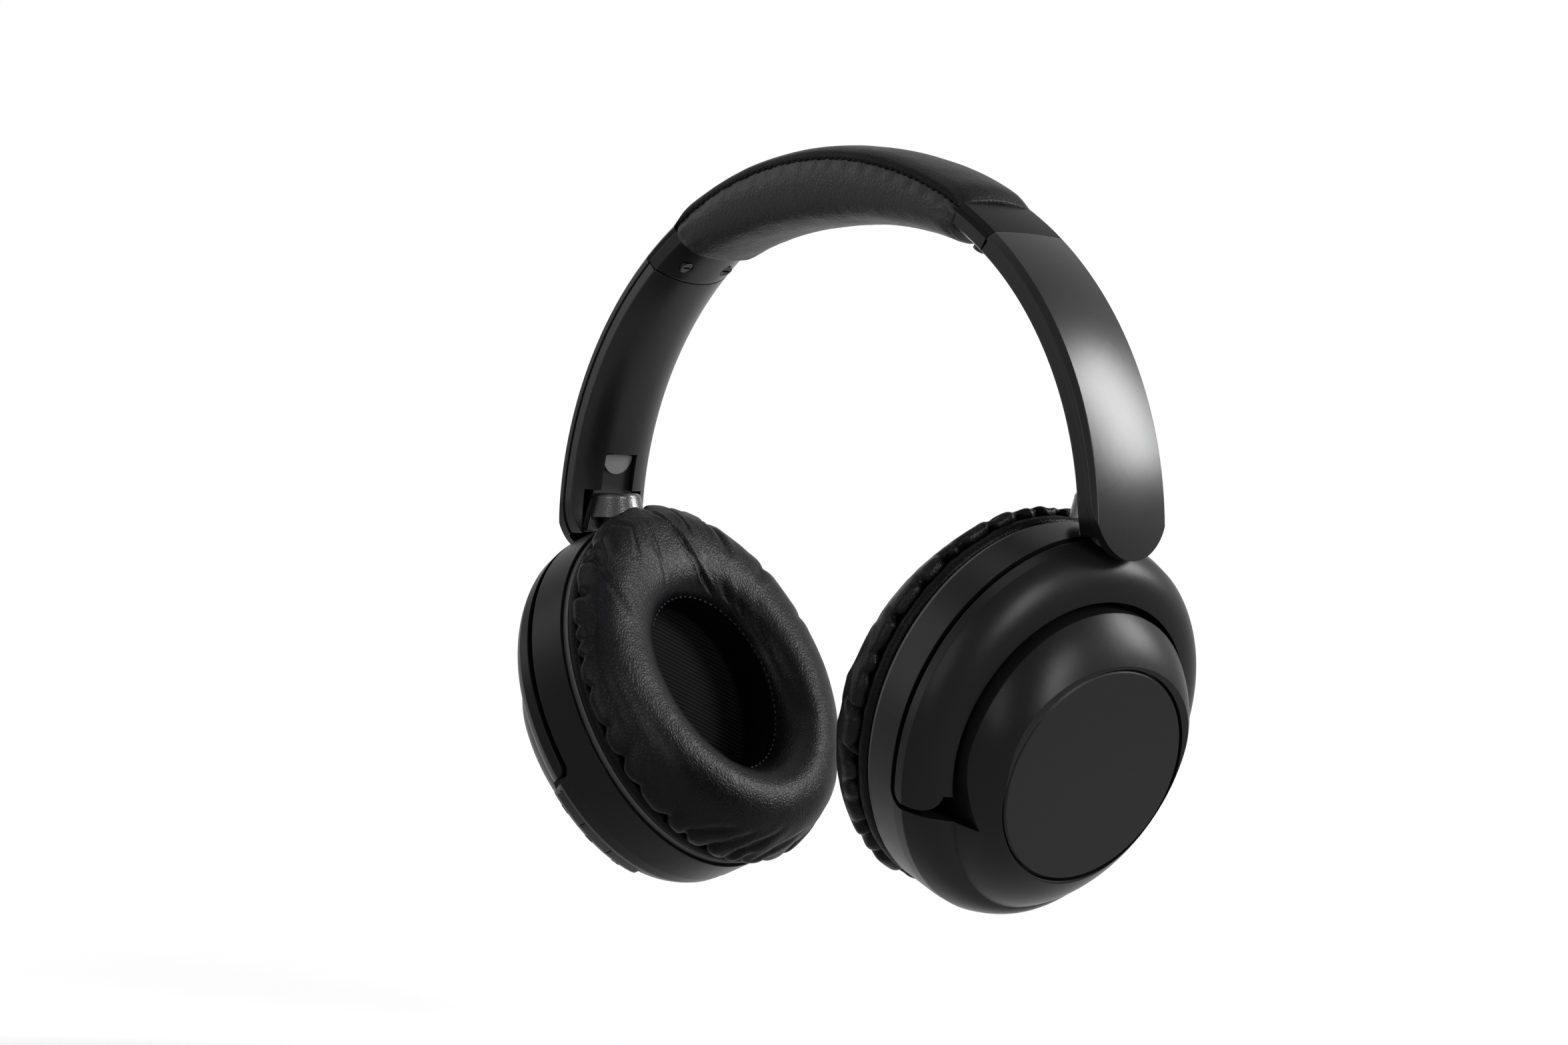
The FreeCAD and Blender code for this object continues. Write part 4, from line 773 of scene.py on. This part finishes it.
def makeHeadCushion():
    plan = bandPlan
    rows, columns = plan["along"], plan["columns"]
    angles = np.radians(np.linspace(-plan["endAngle"], plan["endAngle"], rows))
    grid = np.zeros((rows, columns, 3))
    for i, angle in enumerate(angles):
        share = abs(math.degrees(angle)) / plan["endAngle"]
        thick = plan["middle"] - (plan["middle"] - plan["end"]) * share ** 1.8
        line = smoothLine(cushionSection(thick), columns)[0]
        # the leather is tucked in where it meets a collar
        left = (plan["endAngle"] - abs(math.degrees(angle))) * math.radians(1) * (plan["radius"] - 6)
        tuck = sum(deep * math.exp(-(left / long) ** 2) for deep, long in plan["tuck"])
        middle = np.array([0, 0.45 * thick])
        away = line - middle
        line = line - away / np.maximum(np.linalg.norm(away, axis=1, keepdims=True), 1) * tuck
        grid[i] = bandPoint(angle, line[:, 0], plan["radius"] - line[:, 1])
    normals = gridNormals(grid, False)
    if normals[rows // 2, columns // 2, 2] > 0:
        normals = -normals
    arc = np.degrees(np.arctan2(grid[..., 0], grid[..., 2]))
    deep = plan["radius"] - np.hypot(grid[..., 0], grid[..., 2])
    lump = roughLayers(grid, plan["lumps"])
    # small puckers hang from every third stitch, and larger folds gather near the collars
    side = np.clip((np.abs(grid[..., 1]) - 8) / 4, 0, 1)
    pucker = np.exp(-((deep - plan["seamDepth"] - 1.2) / 1.6) ** 2) * side
    wander = roughField(grid, 5, 9)
    swing = np.radians(arc) * plan["radius"] / plan["puckerSpacing"] * 2 * math.pi
    pull = plan["pucker"] * pucker * np.cos(swing + 2 * wander)
    near = np.exp(-((plan["endAngle"] - np.abs(arc)) / 3.2) ** 2)
    gather = plan["gather"] * near * np.sin(deep * 1.9 + 3 * wander)
    edge = np.clip((plan["endAngle"] - np.abs(arc)) / 0.5, 0, 1)
    grid = grid + normals * ((lump * edge + pull + gather * edge)[..., None])
    piece = meshPiece("headCushion", *cappedTube(grid), finishes["bandLeather"])
    turnOutward(piece)
    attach(piece, "headband")
    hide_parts("headband_cushion")
    return piece


def makeTopCover():
    plan = bandPlan
    rows, half = plan["along"], plan["half"]
    right = [(half - 1.4, 2.9), (half - 0.35, 1.8), (half + 0.05, 1.15), (half - 0.15, 0.3), (half - 1.1, -0.65),
             (half * 0.72, -1.6), (half * 0.36, -2.25), (0, -plan["rise"])]
    section = right + [(-y, d) for y, d in reversed(right[:-1])]
    line = smoothLine(section, plan["coverColumns"])[0]
    columns = len(line)
    angles = np.radians(np.linspace(-plan["endAngle"], plan["endAngle"], rows))
    grid = np.zeros((rows, columns, 3))
    for i, angle in enumerate(angles):
        left = (plan["endAngle"] - abs(math.degrees(angle))) * math.radians(1) * plan["radius"]
        tuck = sum(deep * math.exp(-(left / long) ** 2) for deep, long in plan["coverTuck"])
        depth = line[:, 1] + tuck * np.clip((1.6 - line[:, 1]) / 2.4, 0, 1)
        grid[i] = bandPoint(angle, line[:, 0], plan["radius"] - depth)
    normals = gridNormals(grid, False)
    if normals[rows // 2, columns // 2, 2] < 0:
        normals = -normals
    arc = np.degrees(np.arctan2(grid[..., 0], grid[..., 2]))
    edge = np.clip((plan["endAngle"] - np.abs(arc)) / 2.0, 0, 1)
    lump = roughLayers(grid, plan["coverLumps"])
    grid = grid + normals * ((lump * edge)[..., None])
    piece = meshPiece("headTopCover", *cappedTube(grid), finishes["coverLeather"])
    turnOutward(piece)
    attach(piece, "headband")
    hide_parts("headband_top_cover")
    return piece


makeHeadCushion()
makeTopCover()
for sideName, side in (("Front", 1), ("Back", -1)):
    sweep = np.radians(np.linspace(-bandPlan["endAngle"] + 0.7, bandPlan["endAngle"] - 0.7, 200))
    seam = bandPoint(sweep, side * (bandPlan["half"] - 0.02) + 0 * sweep, bandPlan["radius"] - bandPlan["seamDepth"])
    stitchRow("bandStitches" + sideName, seam * mm, False, bandPlan["thread"], bandPlan["threadSeed"],
              finishes["darkThread"], "headband")
print("head cushion made")


# the caps of the three keys and the symbol on each

def surfaceSpot(piece, start, direction):
    # where a line first meets a piece
    bpy.context.view_layer.update()
    hit, place, normal, _ = piece.ray_cast(Vector(start), Vector(direction).normalized())
    if not hit:
        raise RuntimeError("nothing met on " + piece.name)
    return place, normal


# how much the cap is raised, where the moulded block starts above the middle of the cup, and its rounded edge
keyPlan = {"raise": 1.3, "floor": 11.6, "edge": 0.25}


def makeKey(nodeName, body):
    # the cap of a key: the moulded block of the model, with a taller soft-touch face
    cup = cups["left"]
    shape = bmesh.new()
    shape.from_mesh(nodes[nodeName].data)
    bmesh.ops.remove_doubles(shape, verts=shape.verts, dist=0.002 * mm)
    outward = Vector(cup["axes"][0])
    for corner in shape.verts:
        if (corner.co - cup["centre"]).dot(outward) > keyPlan["floor"] * mm:
            corner.co += outward * keyPlan["raise"] * mm
    bmesh.ops.recalc_face_normals(shape, faces=shape.faces)
    data = bpy.data.meshes.new("cap" + nodeName)
    shape.to_mesh(data)
    shape.free()
    data.materials.append(finishes["keys"])
    piece = bpy.data.objects.new("keyCap" + nodeName.split("_")[1].title(), data)
    bpy.context.scene.collection.objects.link(piece)
    edge = piece.modifiers.new("softEdge", "BEVEL")
    edge.width, edge.segments, edge.angle_limit = keyPlan["edge"] * mm, 2, math.radians(40)
    piece.data = shownMesh(piece)
    piece.modifiers.clear()
    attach(piece, body)
    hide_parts(nodeName)
    return piece


symbolPlan = {"reach": 1.25, "stroke": 0.45, "rise": 0.12, "sunk": 0.25, "hole": 0.66, "corners": 28}


def barPoints(length, width):
    return [(-length / 2, -width / 2), (length / 2, -width / 2), (length / 2, width / 2), (-length / 2, width / 2)]


def makeSymbol(kind, key, body):
    spots = [vertex.co for vertex in key.data.vertices]
    middle = sum(spots, Vector()) / len(spots)
    cup = cups["left"]
    radial = middle - cup["centre"]
    outward = Vector(cup["axes"][0])
    radial = (radial - outward * radial.dot(outward)).normalized()
    look = (outward * 0.45 + radial * 0.9).normalized()
    place, normal = surfaceSpot(key, middle + look * 0.02, -look)
    along = normal.cross(outward).normalized()
    over = along.cross(normal).normalized()
    plan = symbolPlan
    shapes = []
    if kind == "ring":
        turns = [2 * math.pi * i / plan["corners"] for i in range(plan["corners"])]
        outer = [(plan["reach"] * math.cos(turn), plan["reach"] * math.sin(turn)) for turn in turns]
        inner = [(x * plan["hole"], y * plan["hole"]) for x, y in outer]
        shapes.append((outer, inner))
    else:
        shapes.append((barPoints(plan["reach"] * 2, plan["stroke"]), []))
        if kind == "plus":
            shapes.append((barPoints(plan["stroke"], plan["reach"] * 2), []))
    points, faces = [], []
    for outer, inner in shapes:
        base, count = len(points), len(outer)
        for level in (-plan["sunk"], plan["rise"]):
            for x, y in outer + inner:
                points.append(place + (along * x + over * y + normal * level) * mm)
        span = len(outer) + len(inner)
        for i in range(count):
            k = (i + 1) % count
            faces.append((base + i, base + k, base + span + k, base + span + i))
            if inner:
                faces.append((base + count + k, base + count + i, base + span + count + i, base + span + count + k))
                faces.append((base + span + i, base + span + k, base + span + count + k, base + span + count + i))
                faces.append((base + k, base + i, base + count + i, base + count + k))
        if not inner:
            faces.append(tuple(base + span + i for i in range(count)))
            faces.append(tuple(base + i for i in reversed(range(count))))
    piece = meshPiece("keySymbol" + kind.title(), points, faces, finishes["keyMark"], smooth=False)
    turnOutward(piece)
    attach(piece, body)
    return piece


for kind, nodeName, body in (("bar", "button_minus_L", "key_minus"), ("ring", "button_main_L", "key_main"),
                             ("plus", "button_plus_L", "key_plus")):
    makeSymbol(kind, makeKey(nodeName, body), body)
print("key symbols made")


# light, background and floor

lampPlan = {
    # where each soft box stands, in metres from the middle of the headset, its size and its strength in watts
    "rightWall": {"place": (0.81, 1.06, 0.62), "size": (0.42, 0.6), "power": 32},
    "frontRight": {"place": (1.30, -0.13, 0.32), "size": (0.4, 0.6), "power": 22},
    "front": {"place": (0.42, -1.22, 0.20), "size": (0.4, 0.8), "power": 7},
    "overhead": {"place": (-0.1, -0.1, 1.3), "size": (0.8, 0.8), "power": 4},
    "leftStrip": {"place": (-1.0, -0.75, 0.55), "size": (0.35, 1.0), "power": 4},
}


def makeLamp(name, plan):
    data = bpy.data.lights.new(name, "AREA")
    data.shape = "RECTANGLE"
    data.size, data.size_y = plan["size"]
    data.energy = plan["power"]
    lamp = bpy.data.objects.new(name, data)
    bpy.context.scene.collection.objects.link(lamp)
    place = Vector(plan["place"])
    turn = (-place).to_track_quat("-Z", "Y").to_matrix().to_4x4()
    turn.translation = place
    lamp.matrix_world = turn
    return lamp


for name, plan in lampPlan.items():
    makeLamp(name, plan)


def seenWhite(tree):
    # one for the rays that show the white backdrop: camera, mirror and see-through rays
    path = addNode(tree, "ShaderNodeLightPath").outputs
    both = addNode(tree, "ShaderNodeMath", {".operation": "MAXIMUM"},
                   {0: path["Is Camera Ray"], 1: path["Is Glossy Ray"]})
    return addNode(tree, "ShaderNodeMath", {".operation": "MAXIMUM"},
                   {0: both.outputs[0], 1: path["Is Transmission Ray"]}).outputs[0]


def makeWorld(level):
    world = bpy.data.worlds.new("paleStudio")
    bpy.context.scene.world = world
    world.use_nodes = True
    tree = world.node_tree
    tree.nodes.clear()
    strength = addNode(tree, "ShaderNodeMapRange", {"To Min": level, "To Max": 1.0}, {"Value": seenWhite(tree)})
    glow = addNode(tree, "ShaderNodeBackground", {"Color": (1, 1, 1, 1)}, {"Strength": strength.outputs[0]})
    addNode(tree, "ShaderNodeOutputWorld", None, {"Surface": glow.outputs[0]})


floorPlan = {"drop": 45, "half": 3000, "fadeFrom": 130, "fadeTo": 420}


def makeFloor(low):
    # a plain pale sheet a little below the headset, which fades into the white backdrop away from it
    material, tree, shader = newMaterial("palePaper", Roughness=0.9, **{"Base Color": linear("#f4f4f4")})
    where = addNode(tree, "ShaderNodeTexCoord")
    far = addNode(tree, "ShaderNodeVectorMath", {".operation": "LENGTH"}, {0: where.outputs["Object"]})
    fade = addNode(tree, "ShaderNodeMapRange", {"From Min": floorPlan["fadeFrom"] * mm,
                                                "From Max": floorPlan["fadeTo"] * mm,
                                                ".interpolation_type": "SMOOTHSTEP"}, {"Value": far.outputs["Value"]})
    share = addNode(tree, "ShaderNodeMath", {".operation": "MULTIPLY"}, {0: fade.outputs[0], 1: seenWhite(tree)})
    white = addNode(tree, "ShaderNodeEmission", {"Color": (1, 1, 1, 1), "Strength": 1.0})
    blend = addNode(tree, "ShaderNodeMixShader", None,
                    {0: share.outputs[0], 1: shader.outputs[0], 2: white.outputs[0]})
    # from beneath, the sheet lets the headset be seen
    below = addNode(tree, "ShaderNodeMixShader", None,
                    {0: addNode(tree, "ShaderNodeNewGeometry").outputs["Backfacing"], 1: blend.outputs[0],
                     2: addNode(tree, "ShaderNodeBsdfTransparent").outputs[0]})
    tree.links.new(below.outputs[0], outputOf(tree))
    wide = floorPlan["half"] * mm
    points = [(-wide, -wide, low), (wide, -wide, low), (wide, wide, low), (-wide, wide, low)]
    floor = meshPiece("paleFloor", points, [(0, 1, 2, 3)], material, smooth=False)
    return floor


makeWorld(0.12)
makeFloor(cadBox[0][2] - floorPlan["drop"] * mm)
bpy.context.scene.view_settings.view_transform = "Standard"
